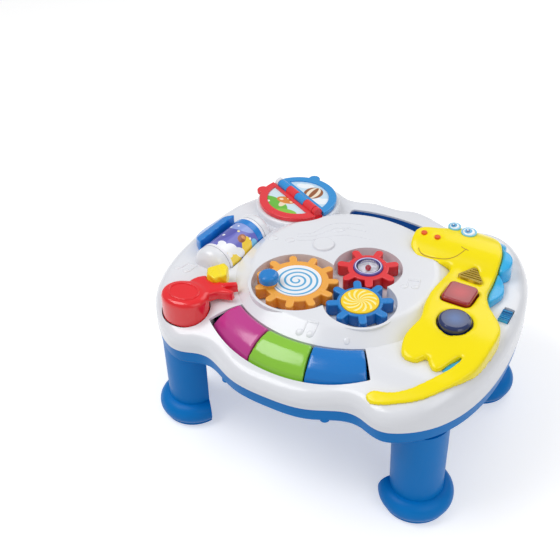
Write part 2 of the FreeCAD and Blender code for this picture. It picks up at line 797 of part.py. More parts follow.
def make_leg(name, x, y, angle):
    tall = "(leg_height - seat_gap)"
    shaft = cone(name + "_shaft", "leg_radius - 0.5", "leg_radius + 0.8", tall)
    roll = doc.addObject("Part::Torus", name + "_roll")
    bind(roll, Radius1="foot_ring", Radius2="foot_roll")
    place(roll, z="foot_roll + 0.3")
    pad = cylinder(name + "_pad", "foot_pad", "5")
    flat = block(name + "_flat", "60", "120", tall + " + 2", x="leg_flat", y="-60", z="-1")
    plug = cylinder(name + "_plug", "plug_radius", "plug_length + 2", z=tall + " - 2")
    plug_flat = block(name + "_plug_flat", "60", "120", "60", x="leg_flat - 2", y="-60", z=tall)
    bore = cone(
        name + "_bore", "leg_radius - leg_wall - 0.5", "leg_radius - leg_wall + 0.8", tall + " - 9", z="6")
    throat = cylinder(name + "_throat", "plug_radius - leg_wall", "40", z=tall + " - 5")
    inner_flat = block(
        name + "_inner_flat", "60", "120", tall + " - 1", x="leg_flat - leg_wall", y="-60", z="1")
    throat_flat = block(
        name + "_throat_flat", "60", "120", "60", x="leg_flat - leg_wall - 2", y="-60", z=tall + " - 6")
    outside = fused(name + "_outside", [cut(name + "_side", fused(name + "_body", [shaft, roll, pad]), flat),
                                        cut(name + "_key", plug, plug_flat)])
    hollow = fused(name + "_hollow", [cut(name + "_tube", bore, inner_flat),
                                      cut(name + "_mouth", throat, throat_flat)])
    return place(cut(name, outside, hollow), x=x, y=y, angle=angle)


legs = [make_leg(*leg) for leg in LEGS]


# Fasteners: pan head screws with a cross recess

def make_screw(name, head, height, shank, length, **where):
    owner = turned(name, [
        ("0", "-" + length),
        (shank, "-" + length),
        (shank, "0"),
        (head, "0"),
        (head, height + " * 0.6"),
        (head + " - 0.8", height),
        ("0", height),
    ], **where)
    arm, slit = head + " * 0.55", "0.5"
    recess = pocketed(owner, name + "_recess", "3", [
        (arm, "-" + slit), (arm, slit), (slit, slit), (slit, arm), ("-" + slit, arm), ("-" + slit, slit),
        ("-" + arm, slit), ("-" + arm, "-" + slit), ("-" + slit, "-" + slit), ("-" + slit, "-" + arm),
        (slit, "-" + arm), (slit, "-" + slit),
    ])
    raised(owner, recess, height + " - 1")
    return owner


def facing_down(**where):
    return dict(angle="180", axis=(1, 0, 0), **where)


housing = []
for count, (x, y) in enumerate(SCREW_SPOTS, start=1):
    housing.append(make_screw("housing_screw_%d" % count, "3.2", "2.2", "1.4", "20",
                              **facing_down(x=str(x), y=str(y), z=UNDER + " + 10")))
housing_screws = group("housing_screws", housing)

# Gears: finger teeth on a drum shaped hub, each on its own post

gears = []
for name, teeth, x, y, tip, root, disc in GEARS:
    seat, under = ("gear_thick - 5.7", "4.5") if name == "red_gear" else ("gear_thick - disc_thick", "7.5")
    gear = turned(name, [
        ("post_radius + running_gap", "0"),
        ("hub_radius", "0"),
        ("hub_radius", under),
        (root + " - 3", under),
        (root + " - 3", "0"),
        (root, "0"),
        (root, "gear_thick"),
        (disc + " + 0.1", "gear_thick"),
        (disc + " + 0.1", seat),
        ("head_pocket", seat),
        ("head_pocket", "3.5"),
        ("post_radius + running_gap", "3.5"),
    ], x=x, y=y, z=GEAR_LOW, angle=TEETH_AT[name])
    straight = tip + " - tooth_width / 2"
    finger = widened(gear, name + "_finger", "gear_thick", [
        (root + " - 2", "-tooth_width / 2"),
        (straight, "-tooth_width / 2"),
        (straight, "tooth_width / 2"),
        (root + " - 2", "tooth_width / 2"),
    ])
    fingertip = widened(gear, name + "_fingertip", "gear_thick", circles=[("tooth_width / 2", straight, "0")])
    doc.recompute()
    pattern = gear.newObject("PartDesign::PolarPattern", name + "_teeth")
    pattern.Originals = [finger, fingertip]
    pattern.Axis = (finger.Profile[0], ["N_Axis"])
    pattern.Angle = 360
    pattern.Occurrences = teeth
    gear.Tip = pattern
    softened(gear, name + "_soft", "1" if name == "red_gear" else "1.4", topmost(gear))
    gears.append(gear)

gear_washers = group("gear_washers", [
    padded("washer_%d" % count, "1", circles=[("6.5",), ("1.6",)], x=x, y=y, z=GEAR_LOW + " + %s" % HEAD_SEAT)
    for count, (name, teeth, x, y, tip, root, disc) in enumerate(GEARS, start=1)
])
gear_screws = group("gear_screws", [
    make_screw(
        "gear_screw_%d" % count, "4.5", "2.4", "1.5", "13", x=x, y=y, z=GEAR_LOW + " + %s + 1" % HEAD_SEAT)
    for count, (name, teeth, x, y, tip, root, disc) in enumerate(GEARS, start=1)
])

# Printed discs let into the gear tops

ORANGE = dict(x="gear_centre_x", y="gear_centre_y")
CRANK_AT = ("crank_radius * cos(crank_angle)", "crank_radius * sin(crank_angle)")
KNOB = dict(x="gear_centre_x + " + CRANK_AT[0], y="gear_centre_y + " + CRANK_AT[1])
DISC_LOW = GEAR_LOW + " + gear_thick - disc_thick"
spiral_disc = padded("spiral_disc", "disc_thick", circles=[("spiral_radius",)], z=DISC_LOW, **ORANGE)
pocketed(spiral_disc, "spiral_notch", None, circles=[("crank_boss + 0.5",) + CRANK_AT])
swirl_disc = padded(
    "swirl_disc", "disc_thick + 0.8", circles=[("swirl_radius",)], x=BLUE_X, y=BLUE_Y, z=DISC_LOW)
softened(swirl_disc, "swirl_soft", "0.7", topmost(swirl_disc))

# Crank knob of the orange gear, turning on a pin pressed into the gear's boss

turn_back = "(crank_angle - orange_tooth)"
at_crank = ("crank_radius * cos" + turn_back, "crank_radius * sin" + turn_back)
boss = widened(gears[0], "crank_boss_pad", "crank_boss_height + 5", circles=[("crank_boss",) + at_crank])
raised(gears[0], boss, "gear_thick - 5")
hole = pocketed(gears[0], "crank_hole", "30", circles=[("2",) + at_crank])
raised(gears[0], hole, "gear_thick - 2.5")
KNOB_LOW = GEAR_LOW + " + gear_thick + crank_boss_height + end_gap"
crank_pin = turned("crank_pin", [
    ("0", "-6.8"), ("2", "-6.8"), ("2", "4.8"), ("3.2", "4.8"), ("3.2", "6.6"), ("0", "6.6"),
], z=KNOB_LOW, **KNOB)
crank_knob = turned("crank_knob", [
    ("2 + running_gap", "0"),
    ("knob_radius - 0.6", "0"),
    ("knob_radius", "1"),
    ("knob_radius", "knob_height - 3.5"),
    ("knob_radius - 0.7", "knob_height - 1.9"),
    ("knob_radius - 2", "knob_height - 0.7"),
    ("knob_radius - 4", "knob_height"),
    ("0", "knob_height"),
    ("0", "knob_height - 2.4"),
    ("3.6", "knob_height - 2.4"),
    ("3.6", "4.5"),
    ("2 + running_gap", "4.5"),
], z=KNOB_LOW, **KNOB)

# Rattle in the red gear: bowl, clamping ring, clear dome and a loose bead

RED = dict(x=RED_X, y=RED_Y, z=GEAR_LOW + " + gear_thick - 5.7")
rattle_bowl = turned("rattle_bowl", [
    ("0", "0"), ("12.4", "0"), ("12.4", "6.4"), ("11", "6.4"), ("11", "5"), ("9.5", "2.6"), ("7", "1.4"),
    ("0", "1.4"),
], **RED)
rattle_ring = turned("rattle_ring", [
    ("12.5", "0"), ("rattle_radius", "0"), ("rattle_radius", "7"), ("rattle_radius - 0.8", "7.8"),
    ("12.9", "7.8"), ("12.5", "7.4"),
], **RED)
globe = 16.5
dome_low = number(RED["z"]) + 6.4
sphere = Part.makeSphere(globe, vector(number(RED_X), number(RED_Y), dome_low - 10.9))
inner = Part.makeSphere(globe - 1.2, vector(number(RED_X), number(RED_Y), dome_low - 10.9))
dome_limit = post(12.4, dome_low, dome_low + 20, number(RED_X), number(RED_Y))
rattle_dome = shaped("rattle_dome", sphere.cut(inner).common(dome_limit))
rattle_bead = doc.addObject("Part::Sphere", "rattle_bead")
bind(rattle_bead, Radius="3.2")
place(rattle_bead, x=RED_X, y=RED_Y, z=RED["z"] + " + 4.8")

# Keys: hollow ring sectors that tip on a pin behind their back edge

KEY_LOW = DECK + " - key_skirt"
PIVOT = "key_inner - key_hinge_in"
PIVOT_Z = DECK + " - key_hinge_drop"
key_nodes = []
for name, place_on_arc in KEYS:
    turn = "key_span * %d - 90" % place_on_arc
    key = turned(name, [
        ("key_inner", KEY_LOW),
        ("key_inner", DECK + " - 1"),
        ("key_inner + 1.2", DECK + " + key_crown - 1.2"),
        ("key_inner + 4", DECK + " + key_crown"),
        ("key_inner + 14", DECK + " + key_crown - 1.5"),
        ("key_outer - 15", DECK + " - 1.5"),
        ("key_outer - 8", DECK + " - 6"),
        ("key_outer - 3", DECK + " - 12"),
        ("key_outer", DECK + " - 19"),
        ("key_outer", KEY_LOW),
    ], "key_span - key_gap * 0.4", y="key_centre_y", angle=turn)
    doc.recompute()
    inside = sketch(key, "XZ_Plane", name + "_inside")
    polygon(inside, [
        ("key_inner + 3", KEY_LOW + " - 1"),
        ("key_inner + 3", DECK + " - 4"),
        ("key_inner + 13", DECK + " - 4"),
        ("key_outer - 11", DECK + " - 9"),
        ("key_outer - 5", DECK + " - 16"),
        ("key_outer - 3", DECK + " - 20"),
        ("key_outer - 3", KEY_LOW + " - 1"),
    ])
    hollow = key.newObject("PartDesign::Groove", name + "_hollow")
    hollow.Profile = inside
    hollow.ReferenceAxis = (inside, ["V_Axis"])
    bind(hollow, Angle="key_span - key_gap * 0.4 - 2.6")
    hollow.Midplane = True
    doc.recompute()
    tongue_profile = sketch(key, "XZ_Plane", name + "_tongue_outline")
    polygon(tongue_profile, [
        (PIVOT + " - 3.5", PIVOT_Z + " - 2.5"),
        (PIVOT + " - 2", PIVOT_Z + " - 4"),
        ("key_inner + 1", PIVOT_Z + " - 4"),
        ("key_inner + 1", PIVOT_Z + " + 4"),
        (PIVOT + " - 2", PIVOT_Z + " + 4"),
        (PIVOT + " - 3.5", PIVOT_Z + " + 2.5"),
    ])
    ring(tongue_profile, "pin_radius + running_gap", PIVOT, PIVOT_Z)
    tongue = key.newObject("PartDesign::Pad", name + "_tongue")
    tongue.Profile = tongue_profile
    tongue.Midplane = True
    bind(tongue, Length="16")
    doc.recompute()
    rib = widened(key, name + "_rib", "17.5", [("147", "-3"), ("151", "-3"), ("151", "3"), ("147", "3")])
    raised(key, rib, KEY_LOW + " + 1.5")
    key_nodes.append(key)

pins, pads = [], []
for name, place_on_arc in KEYS:
    pin = Part.makeCylinder(
        number("pin_radius"), 24.4, vector(number(PIVOT), -12.2, number(PIVOT_Z)), vector(0, 1, 0))
    pins.append(shaped(name + "_pin", on_key_arc(pin, place_on_arc)))
    dome = Part.makeCone(4.5, 3, 3.3, vector(149, 0, number(KEY_BOARD) + 1.6))
    pads.append(shaped(name + "_pad", on_key_arc(dome, place_on_arc)))
key_pins = group("key_pins", pins)
contact_pads = group("contact_pads", pads)
low = number(KEY_BOARD)
key_board = shaped("key_board", sector(132, 157, low, low + 1.6, 32))

# Flip book: two round leaves of a book on one hinge pin

LEAF_LOW = number("flip_rise") + number(DECK) + number("end_gap")
LEAF_HIGH = LEAF_LOW + number("flip_leaf")
AXIS_Z = number(FLIP_AXIS)


def on_flip(solid, side):
    """Turn and move a solid drawn with its hinge along X to the flip book's place."""
    solid.rotate(vector(0, 0, 0), vector(0, 0, 1), number("flip_angle") + (0 if side > 0 else 180))
    solid.translate(spot("flip_x", "flip_y"))
    return solid


def half_disc(radius, start, low, high):
    """The part of a round disc beyond a straight line parallel to the hinge."""
    return post(radius, low, high, 0, 0).common(Part.makeBox(200, 100, high - low, vector(-100, start, low)))


def flip_pages(side):
    """One leaf with its tab, the picture card in its window, and its two hinge knuckles."""
    radius = number("flip_radius")
    window = radius - number("flip_rim")
    leaf = half_disc(radius, 6.2, LEAF_LOW, LEAF_HIGH)
    tab = math.radians(121 if side > 0 else 33)
    leaf = leaf.makeFillet(1.2, [edge for edge in leaf.Edges if edge.BoundBox.YLength > 10])
    nub = post(7, LEAF_LOW, LEAF_HIGH, radius * math.cos(tab), radius * math.sin(tab))
    leaf = leaf.fuse(nub.makeFillet(1.2, [edge for edge in nub.Edges if edge.BoundBox.ZLength < 0.01]))
    leaf = leaf.cut(half_disc(window, 10.5, LEAF_LOW - 1, LEAF_HIGH + 1))
    knuckles = []
    for start in (-36, 0):
        near, far = (start + 0.3, start + 17.7)
        barrel = Part.makeCylinder(number("knuckle"), far - near, vector(near, 0, AXIS_Z), vector(1, 0, 0))
        web = Part.makeBox(far - near, 6.2 - number("seat_gap"), LEAF_HIGH - LEAF_LOW - 0.2,
                           vector(near, 0, LEAF_LOW + 0.2))
        knuckles.append(barrel.fuse(web))
    bore = Part.makeCylinder(
        number("pin_radius") + number("running_gap"), 90, vector(-45, 0, AXIS_Z), vector(1, 0, 0))
    knuckles = [on_flip(knuckle.cut(bore).removeSplitter(), side) for knuckle in knuckles]
    middle = (LEAF_LOW + LEAF_HIGH) / 2
    card = half_disc(window, 10.5, middle - 1.2, middle + 1.2)
    return on_flip(leaf, side), on_flip(card, side), knuckles


blue_leaf, blue_card, blue_knuckles = flip_pages(1)
red_leaf, red_card, red_knuckles = flip_pages(-1)
flip_leaf_blue = shaped("flip_leaf_blue", blue_leaf)
flip_leaf_red = shaped("flip_leaf_red", red_leaf)
flip_knuckles_blue = group("flip_knuckles_blue", [
    shaped("blue_knuckle_%d" % count, knuckle) for count, knuckle in enumerate(blue_knuckles, start=1)])
flip_knuckles_red = group("flip_knuckles_red", [
    shaped("red_knuckle_%d" % count, knuckle) for count, knuckle in enumerate(red_knuckles, start=1)])
flip_card_blue = shaped("flip_card_blue", blue_card)
flip_card_red = shaped("flip_card_red", red_card)
flip_pin = shaped("flip_pin", along_hinge(number("pin_radius"), -39.8, 39.8, AXIS_Z))

# Picture drum on its axle, with its label and trim ring

lean = math.radians(number("drum_angle"))
ON_DRUM = dict(x=DRUM_X, y="drum_y", z=DRUM_Z, angle="90", axis=(-math.cos(lean), math.sin(lean), 0))
DRUM_HALF = "drum_length / 2"
drum_core = turned("drum_core", [
    ("2.5 + running_gap", "-" + DRUM_HALF),
    ("drum_radius", "-" + DRUM_HALF),
    ("drum_radius", "3.5 - " + DRUM_HALF),
    ("drum_radius - 1", "3.5 - " + DRUM_HALF),
    ("drum_radius - 1", DRUM_HALF + " - 3.5"),
    ("drum_radius", DRUM_HALF + " - 3.5"),
    ("drum_radius", DRUM_HALF),
    ("2.5 + running_gap", DRUM_HALF),
    ("2.5 + running_gap", DRUM_HALF + " - 3"),
    ("drum_radius - 3.5", DRUM_HALF + " - 3"),
    ("drum_radius - 3.5", "3 - " + DRUM_HALF),
    ("2.5 + running_gap", "3 - " + DRUM_HALF),
], **ON_DRUM)
drum_label = turned("drum_label", [
    ("drum_radius - 1", "3.5 - " + DRUM_HALF),
    ("drum_radius - 0.3", "3.5 - " + DRUM_HALF),
    ("drum_radius - 0.3", DRUM_HALF + " - 12"),
    ("drum_radius - 1", DRUM_HALF + " - 12"),
], **ON_DRUM)
drum_trim = turned("drum_trim", [
    ("drum_radius - 1", DRUM_HALF + " - 12"),
    ("drum_radius", DRUM_HALF + " - 12"),
    ("drum_radius", DRUM_HALF + " - 3.5"),
    ("drum_radius - 1", DRUM_HALF + " - 3.5"),
], **ON_DRUM)
drum_reach = number("drum_length") / 2 + 7
drum_axle = shaped("drum_axle", along_drum(2.5, -drum_reach, drum_reach))

# Guard beside the drum: a half moon whose top falls away outwards

arc = Part.Arc(vector(-23.2, 34.5), vector(-46, 3), vector(-23.2, -28.5)).toShape()
straight = Part.makeLine(vector(-23.2, -28.5), vector(-23.2, 34.5))
moon = Part.Face(Part.Wire([arc, straight])).extrude(vector(0, 0, 40))
moon = moon.common(Part.Face(Part.makePolygon([
    vector(-60, -60, 0), vector(-60, -60, 4), vector(-46, -60, 6), vector(-33, -60, 15),
    vector(-23.2, -60, 17.5), vector(0, -60, 17.5), vector(0, -60, 0), vector(-60, -60, 0),
])).extrude(vector(0, 120, 0)))
seat = DECK_BLOCK.copy()
seat.translate(vector(0, 0, 2 * number("seat_gap")))
drum_guard = shaped("drum_guard", on_drum(moon).cut(seat).removeSplitter())

# Bird button: an oval body with the head and beak over the deck and a ribbed comb

bird = spot("bird_x", "bird_y")
bird_low = number(BIRD_FLOOR) + 4 + number("bird_travel")
bird_top = number(DECK) + number("bird_height")
oval = oval_prism(number("bird_long"), number("bird_wide"), bird_low, bird_top, bird.x, bird.y)
oval = oval.makeFillet(6, [edge for edge in oval.Edges if edge.BoundBox.ZMin > bird_top - 0.01])
head = polygon_prism([
    (-130, -100), (-127, -93), (-121, -87), (-112, -84), (-104, -86), (-99, -89), (-86, -80), (-82, -84),
    (-96, -95), (-80, -94), (-80, -99), (-94, -104), (-100, -112), (-112, -118), (-126, -112),
], number(DECK) + number("bird_travel") + 0.8, bird_top - 1.5)
comb = polygon_prism([
    (-122, -81), (-111, -65), (-103, -69), (-97, -82), (-105, -93), (-116, -91),
], number(DECK) + number("bird_travel") + 0.8, number(DECK) + number("bird_height") + 4)
crest = [edge for edge in comb.Edges if edge.BoundBox.ZMin > bird_top + 3.9]
comb = comb.makeFillet(1.5, crest)
snaps = Part.makeBox(2 * number("bird_long") + 3.4, 6, 1.4,
                     vector(bird.x - number("bird_long") - 1.7, bird.y - 3, number(DECK) - 7.8))
bird_button = shaped("bird_button", oval.fuse([head, snaps]).cut(comb).removeSplitter())
bird_comb = shaped("bird_comb", comb)
bird_pad = cone("bird_pad", "6", "4.5", "4", x="bird_x", y="bird_y", z=BIRD_FLOOR)

# Dinosaur: a hollow relief moulding, its back spines, eyes and nostrils

BODY_OUTLINE = [
    (45, 75), (53, 93), (73, 102), (81, 118), (97, 124), (111, 123), (123, 117), (133, 108), (140, 96),
    (145, 82), (147, 67), (148, 47), (150, 27), (161, 3), (171, -9), (180, -21), (183, -33), (181, -45),
    (166, -62), (152, -80), (141, -93), (134, -88), (129, -82), (123, -89), (116, -92), (107, -89), (102, -81),
    (101, -60), (105, -44), (102, -30), (99, -10), (99, 16), (100, 40), (98, 54), (80, 49), (68, 49), (58, 54),
    (48, 63),
]
TAIL_OUTLINE = [
    (183, -40), (181, -61), (177, -79), (169, -95), (157, -113), (142, -128), (122, -139), (108, -145),
    (98, -145), (94, -141), (97, -136), (106, -133), (122, -127), (133, -118), (141, -108), (149, -95),
    (155, -85), (161, -69), (163, -50), (172, -32),
]
SPINES = [
    [(81, 116), (85, 127), (97, 137), (111, 134), (117, 124), (111, 118), (97, 116)],
    [(124, 114), (129, 125), (139, 114), (142, 99), (138, 94), (128, 108)],
    [(142, 97), (151, 93), (157, 83), (156, 71), (150, 65), (144, 68), (142, 82)],
    [(149, 63), (158, 55), (162, 43), (159, 29), (153, 18), (147, 30), (146, 50)],
    [(161, -62), (156, -74), (151, -80), (141, -102), (131, -108), (126, -120), (114, -122), (108, -128),
     (101, -133), (106, -135), (122, -129), (133, -120), (141, -110), (149, -97), (156, -85), (163, -68)],
]
PROFILE = [
    (160, 8), (130, 10), (112, 21), (100, 25), (80, 25), (66, 20), (54, 13.5), (40, 12.5), (20, 15), (0, 17),
    (-45, 17), (-75, 10), (-95, 5), (-110, 3), (-125, -2), (-150, -12),
]


EYE_LOW = DECK + " + dino_head - 1.6"
EYES = [("99", "104", "7"), ("81", "107", "5.5")]
NOSTRIL_LOW = DECK + " + dino_head - 2"
NOSTRILS = [("72", "79"), ("56", "80")]


def relief_bar(lower):
    """A bar along X under the animal's smooth back line."""
    deck = number(DECK)
    line = Part.BSplineCurve()
    line.interpolate([vector(0, y, deck + rise - lower) for y, rise in PROFILE])
    low = deck - 40
    first, last = PROFILE[0], PROFILE[-1]
    wire = Part.Wire([
        line.toShape(),
        Part.makeLine(vector(0, last[0], deck + last[1] - lower), vector(0, last[0], low)),
        Part.makeLine(vector(0, last[0], low), vector(0, first[0], low)),
        Part.makeLine(vector(0, first[0], low), vector(0, first[0], deck + first[1] - lower)),
    ])
    return Part.Face(wire).extrude(vector(220, 0, 0))


def shrunk(corners, inset):
    """The same smooth outline moved inwards."""
    curve = Part.BSplineCurve()
    curve.interpolate([vector(x, y) for x, y in corners], PeriodicFlag=True)
    area = sum(a[0] * b[1] - b[0] * a[1] for a, b in zip(corners, corners[1:] + corners[:1]))
    turn = 1 if area > 0 else -1
    result = []
    for x, y in corners:
        along = curve.tangent(curve.parameter(vector(x, y)))[0]
        result.append((x - along.y * inset * turn, y + along.x * inset * turn))
    return result


def make_dinosaur():
    deck = number(DECK)
    outer = DECK_BLOCK.fuse(plateau_block(0))
    outer.translate(vector(0, 0, 2 * number("seat_gap")))
    bar = relief_bar(0)
    shapes = []
    for corners in (BODY_OUTLINE, TAIL_OUTLINE):
        shapes.append(smooth_prism(corners, deck - 30, deck + 40).common(bar))
    animal = shapes[0].fuse(shapes[1])
    core = smooth_prism(shrunk(BODY_OUTLINE, 3), deck - 30, deck + 40).common(relief_bar(3))
    square, circle, grille = spot(*SQUARE_AT), spot(*ROUND_AT), spot(*GRILLE_AT)
    holes = [core, rounded_square(number("square_button") + 1, 6, deck - 10, deck + 40, square.x, square.y),
             post(number("round_button") + 0.5, deck - 10, deck + 40, circle.x, circle.y),
             grille_plate(-2.5, deck - 10, deck + 40), grille_plate(0.2, deck + 11, deck + 40)]
    for x, y, radius in EYES:
        holes.append(post(number(radius) + 1.6, number(EYE_LOW), deck + 40, number(x), number(y)))
    for x, y in NOSTRILS:
        holes.append(post(3.2, number(NOSTRIL_LOW), deck + 40, number(x), number(y)))
    inside = Part.Face(outline_wire(1.5, deck - 30)).extrude(vector(0, 0, 80))
    return animal.cut(holes).cut(outer).common(inside), outer, inside


def grille_plate(grow, low, high):
    """A rounded triangle round the grille's middle."""
    middle = spot(*GRILLE_AT)
    corners = []
    for x, y in ((124, 61), (110, 38), (142, 36)):
        way = vector(x - middle.x, y - middle.y)
        far = way.Length + grow * 1.7
        corners.append((middle.x + way.x / way.Length * far, middle.y + way.y / way.Length * far))
    solid = polygon_prism(corners, low, high)
    upright = [edge for edge in solid.Edges if edge.BoundBox.ZLength > 0.9 * (high - low)]
    return solid.makeFillet(3, upright)


def make_grille():
    """The sound slots of the grille plate, cut right through."""
    deck = number(DECK)
    plate = grille_plate(0, deck + 11, deck + 15.2)
    slots = []
    for row in range(5):
        y = 40 + row * 3.6
        half = 11.5 - row * 2
        slots.append(Part.makeBox(2 * half, 1.6, 10, vector(126 - half, y, deck + 8)))
    return plate.cut(slots)


def make_square_button():
    deck = number(DECK)
    square = spot(*SQUARE_AT)
    side = number("square_button")
    hood = rounded_square(side, 5.5, deck - 6.2, deck + 21, square.x, square.y)
    hood = hood.makeFillet(2.5, [edge for edge in hood.Edges if edge.BoundBox.ZMin > deck + 20.9])
    flange = rounded_square(side + 5, 6, deck - 6.2, deck - 3.7, square.x, square.y)
    inside = rounded_square(side - 4, 3.5, deck - 8, deck + 19, square.x, square.y)
    return hood.fuse(flange).cut(inside).removeSplitter()


def make_switch_knob():
    deck = number(DECK)
    middle = spot(SWITCH_X, "switch_y")
    start = middle.y - number("slot_length") / 2 + 0.3
    length = number("slot_length") - number("switch_travel") - 0.6
    knob = Part.makeBox(number("slot_width") - 0.8, length, 8, vector(
        middle.x - number("slot_width") / 2 + 0.4, start, deck - 5))
    tray = Part.makeBox(number("slot_width") + 1.6, length + 9, 2.5, vector(
        middle.x - number("slot_width") / 2 - 2, start - 4.5, deck - 7.3))
    grooves = []
    for step in range(4):
        grooves.append(Part.makeBox(20, 1.6, 3, vector(middle.x - 10, start + 3 + step * 3.2, deck + 1.8)))
    return knob.fuse(tray).cut(grooves).removeSplitter()


animal, under_skin, within_edge = make_dinosaur()
low_bar = relief_bar(5)
fins = []
for corners in SPINES:
    fin = smooth_prism(corners, number(DECK) - 30, number(DECK) + 40)
    fins.append(fin.common(low_bar).cut(under_skin).common(within_edge))
dinosaur = shaped("dinosaur", animal.cut(fins[4]).removeSplitter())
flank = smooth_prism(shrunk(BODY_OUTLINE, -2 * number("seat_gap")), number(DECK) - 30, number(DECK) + 60)
outer_fins = [fin.cut(flank) for fin in fins[:4]]
dinosaur_spines = group("dinosaur_spines", [shaped("spine_%d" % count, fin.removeSplitter())
                                            for count, fin in enumerate(outer_fins + [fins[4]], start=1)])

rings, domes, nostrils = [], [], []
for count, (x, y, radius) in enumerate(EYES, start=1):
    rings.append(padded(
        "eye_ring_%d" % count, "2.2", circles=[(radius + " + 1.6",), (radius,)], x=x, y=y, z=EYE_LOW))
    dome = padded("eye_dome_%d" % count, "3.4", circles=[(radius,)], x=x, y=y, z=EYE_LOW)
    softened(dome, "eye_soft_%d" % count, "2", topmost(dome))
    domes.append(dome)
for count, (x, y) in enumerate(NOSTRILS, start=1):
    nostrils.append(padded("nostril_%d" % count, "2.9", circles=[("3.2",)], x=x, y=y, z=NOSTRIL_LOW))
dinosaur_eye_rings = group("dinosaur_eye_rings", rings)
dinosaur_eyes = group("dinosaur_eyes", domes)
dinosaur_nostrils = group("dinosaur_nostrils", nostrils)
speaker_grille = shaped("speaker_grille", make_grille())

# Light buttons: clear hoods with a stop flange under the deck

square_light_button = shaped("square_light_button", make_square_button())
round_light_button = turned("round_light_button", [
    ("round_button - 2", DECK + " - 6.2"),
    ("round_button + 3", DECK + " - 6.2"),
    ("round_button + 3", DECK + " - 3.7"),
    ("round_button", DECK + " - 3.7"),
    ("round_button", DECK + " + 19"),
    ("round_button - 1", DECK + " + 20.6"),
    ("round_button - 3", DECK + " + 21.5"),
    ("0", DECK + " + 21.5"),
    ("0", DECK + " + 19.5"),
    ("round_button - 3", DECK + " + 19.5"),
    ("round_button - 2", DECK + " + 18.5"),
], x=ROUND_AT[0], y=ROUND_AT[1])

# Electronics: circuit board with switches, lights, speaker and the power switch

board = Part.makeBox(68, 108, 1.6, vector(98, -54, number(BOARD_TOP) - 1.6))
chips = [Part.makeBox(14, 9, 2.2, vector(104, -46, number(BOARD_TOP))),
         Part.makeBox(7, 7, 4, vector(109, -8, number(BOARD_TOP))),
         Part.makeBox(7, 7, 4, vector(156, -52, number(BOARD_TOP))),
         Part.makeBox(5, 5, 1.8, vector(108, 26, number(BOARD_TOP)))]
circuit_board = shaped("circuit_board", board.fuse(chips).cut(
    [post(1.4, 100, 200, x, y) for x, y in BOARD_SPOTS] +
    [post(5.5, 100, 200, x, y) for x, y in SCREW_SPOTS]).removeSplitter())
board_screws = group("board_screws", [
    make_screw("board_screw_%d" % count, "2.6", "1.8", "1.1", "8",
               **facing_down(x=str(x), y=str(y), z=BOARD_TOP + " - 1.6"))
    for count, (x, y) in enumerate(BOARD_SPOTS, start=1)
])
lights = group("lights", [
    turned("light_%d" % count, [
        ("0", "0"), ("2.9", "0"), ("2.9", "1"), ("2.5", "1"), ("2.5", "5.6"), ("1.8", "7.2"), ("0", "7.8"),
    ], x=x, y=y, z=BOARD_TOP)
    for count, (x, y) in enumerate((SQUARE_AT, ROUND_AT), start=1)
])
speaker = turned("speaker", [
    ("0", DECK + " - 13.5"), ("9", DECK + " - 13.5"), ("9", DECK + " - 9"), ("17.5", DECK + " - 5.5"),
    ("17.5", DECK + " - wall - 0.4"), ("14.5", DECK + " - wall - 0.4"), ("8", DECK + " - 6"),
    ("0", DECK + " - 5"),
], x=GRILLE_AT[0], y=GRILLE_AT[1])
switch_box = Part.makeBox(10, 46, 5, vector(number(SWITCH_X) - 5, number("switch_y") - 23, number(DECK) - 12.55))
power_switch = shaped("power_switch", switch_box.cut(
    [post(5.5, 100, 200, x, y) for x, y in SCREW_SPOTS]).removeSplitter())
power_switch_knob = shaped("power_switch_knob", make_switch_knob())

# Battery compartment: three cells, their contacts, the door and its captive screw

CELL_Z = "leg_height + 10.7"
cells, contacts = [], []
for count, x in enumerate((-16, 0, 16), start=1):
    cell = turned("cell_%d" % count, [
        ("0", "-25"), ("6.6", "-25"), ("7.1", "-24.4"), ("7.1", "23.4"), ("6.6", "24"), ("2.6", "24"),
        ("2.6", "25.4"), ("0", "25.4"),
    ], x=str(x), y="-10", z=CELL_Z, angle="90" if count == 2 else "-90", axis=(1, 0, 0))
    cells.append(cell)
    for end in (-1, 1):
        near = -35.5 if end < 0 else 15.5
        plate = Part.makeBox(9, 0.6, 9, vector(x - 4.5, -40 if end < 0 else 19.4, number(CELL_Z) - 4.5))
        spring = Part.makeCone(3.6, 2, 3.8, vector(x, near + end * 3.9, number(CELL_Z)), vector(0, -end, 0))
        contacts.append(shaped("contact_%d_%d" % (count, end + 1), plate.fuse(spring)))
batteries = group("batteries", cells)
battery_contacts = group("battery_contacts", contacts)
door = block("battery_door_plate", "63", "71", "2.4", x="-31.5", y="-45.5", z=UNDER)
door_hole = cylinder("battery_door_hole", "1.7", "10", y="23", z=UNDER + " - 2")
door_sink = cylinder("battery_door_sink", "3.4", "2.3", y="23", z=UNDER + " - 1")
battery_door = cut("battery_door", door, fused("battery_door_holes", [door_hole, door_sink]))
battery_door_screw = make_screw("battery_door_screw", "3", "1.2", "1.1", "3.6",
                                **facing_down(y="23", z=UNDER + " + 1.3"))


def wire_run(name, corners):
    """A round insulated wire in straight runs with round bends."""
    points = [vector(*corner) for corner in corners]
    runs = [Part.makeCylinder(0.7, (b - a).Length, a, b - a) for a, b in zip(points, points[1:])]
    bends = [Part.makeSphere(0.7, point) for point in points[1:-1]]
    return shaped(name, runs[0].fuse(runs[1:] + bends))


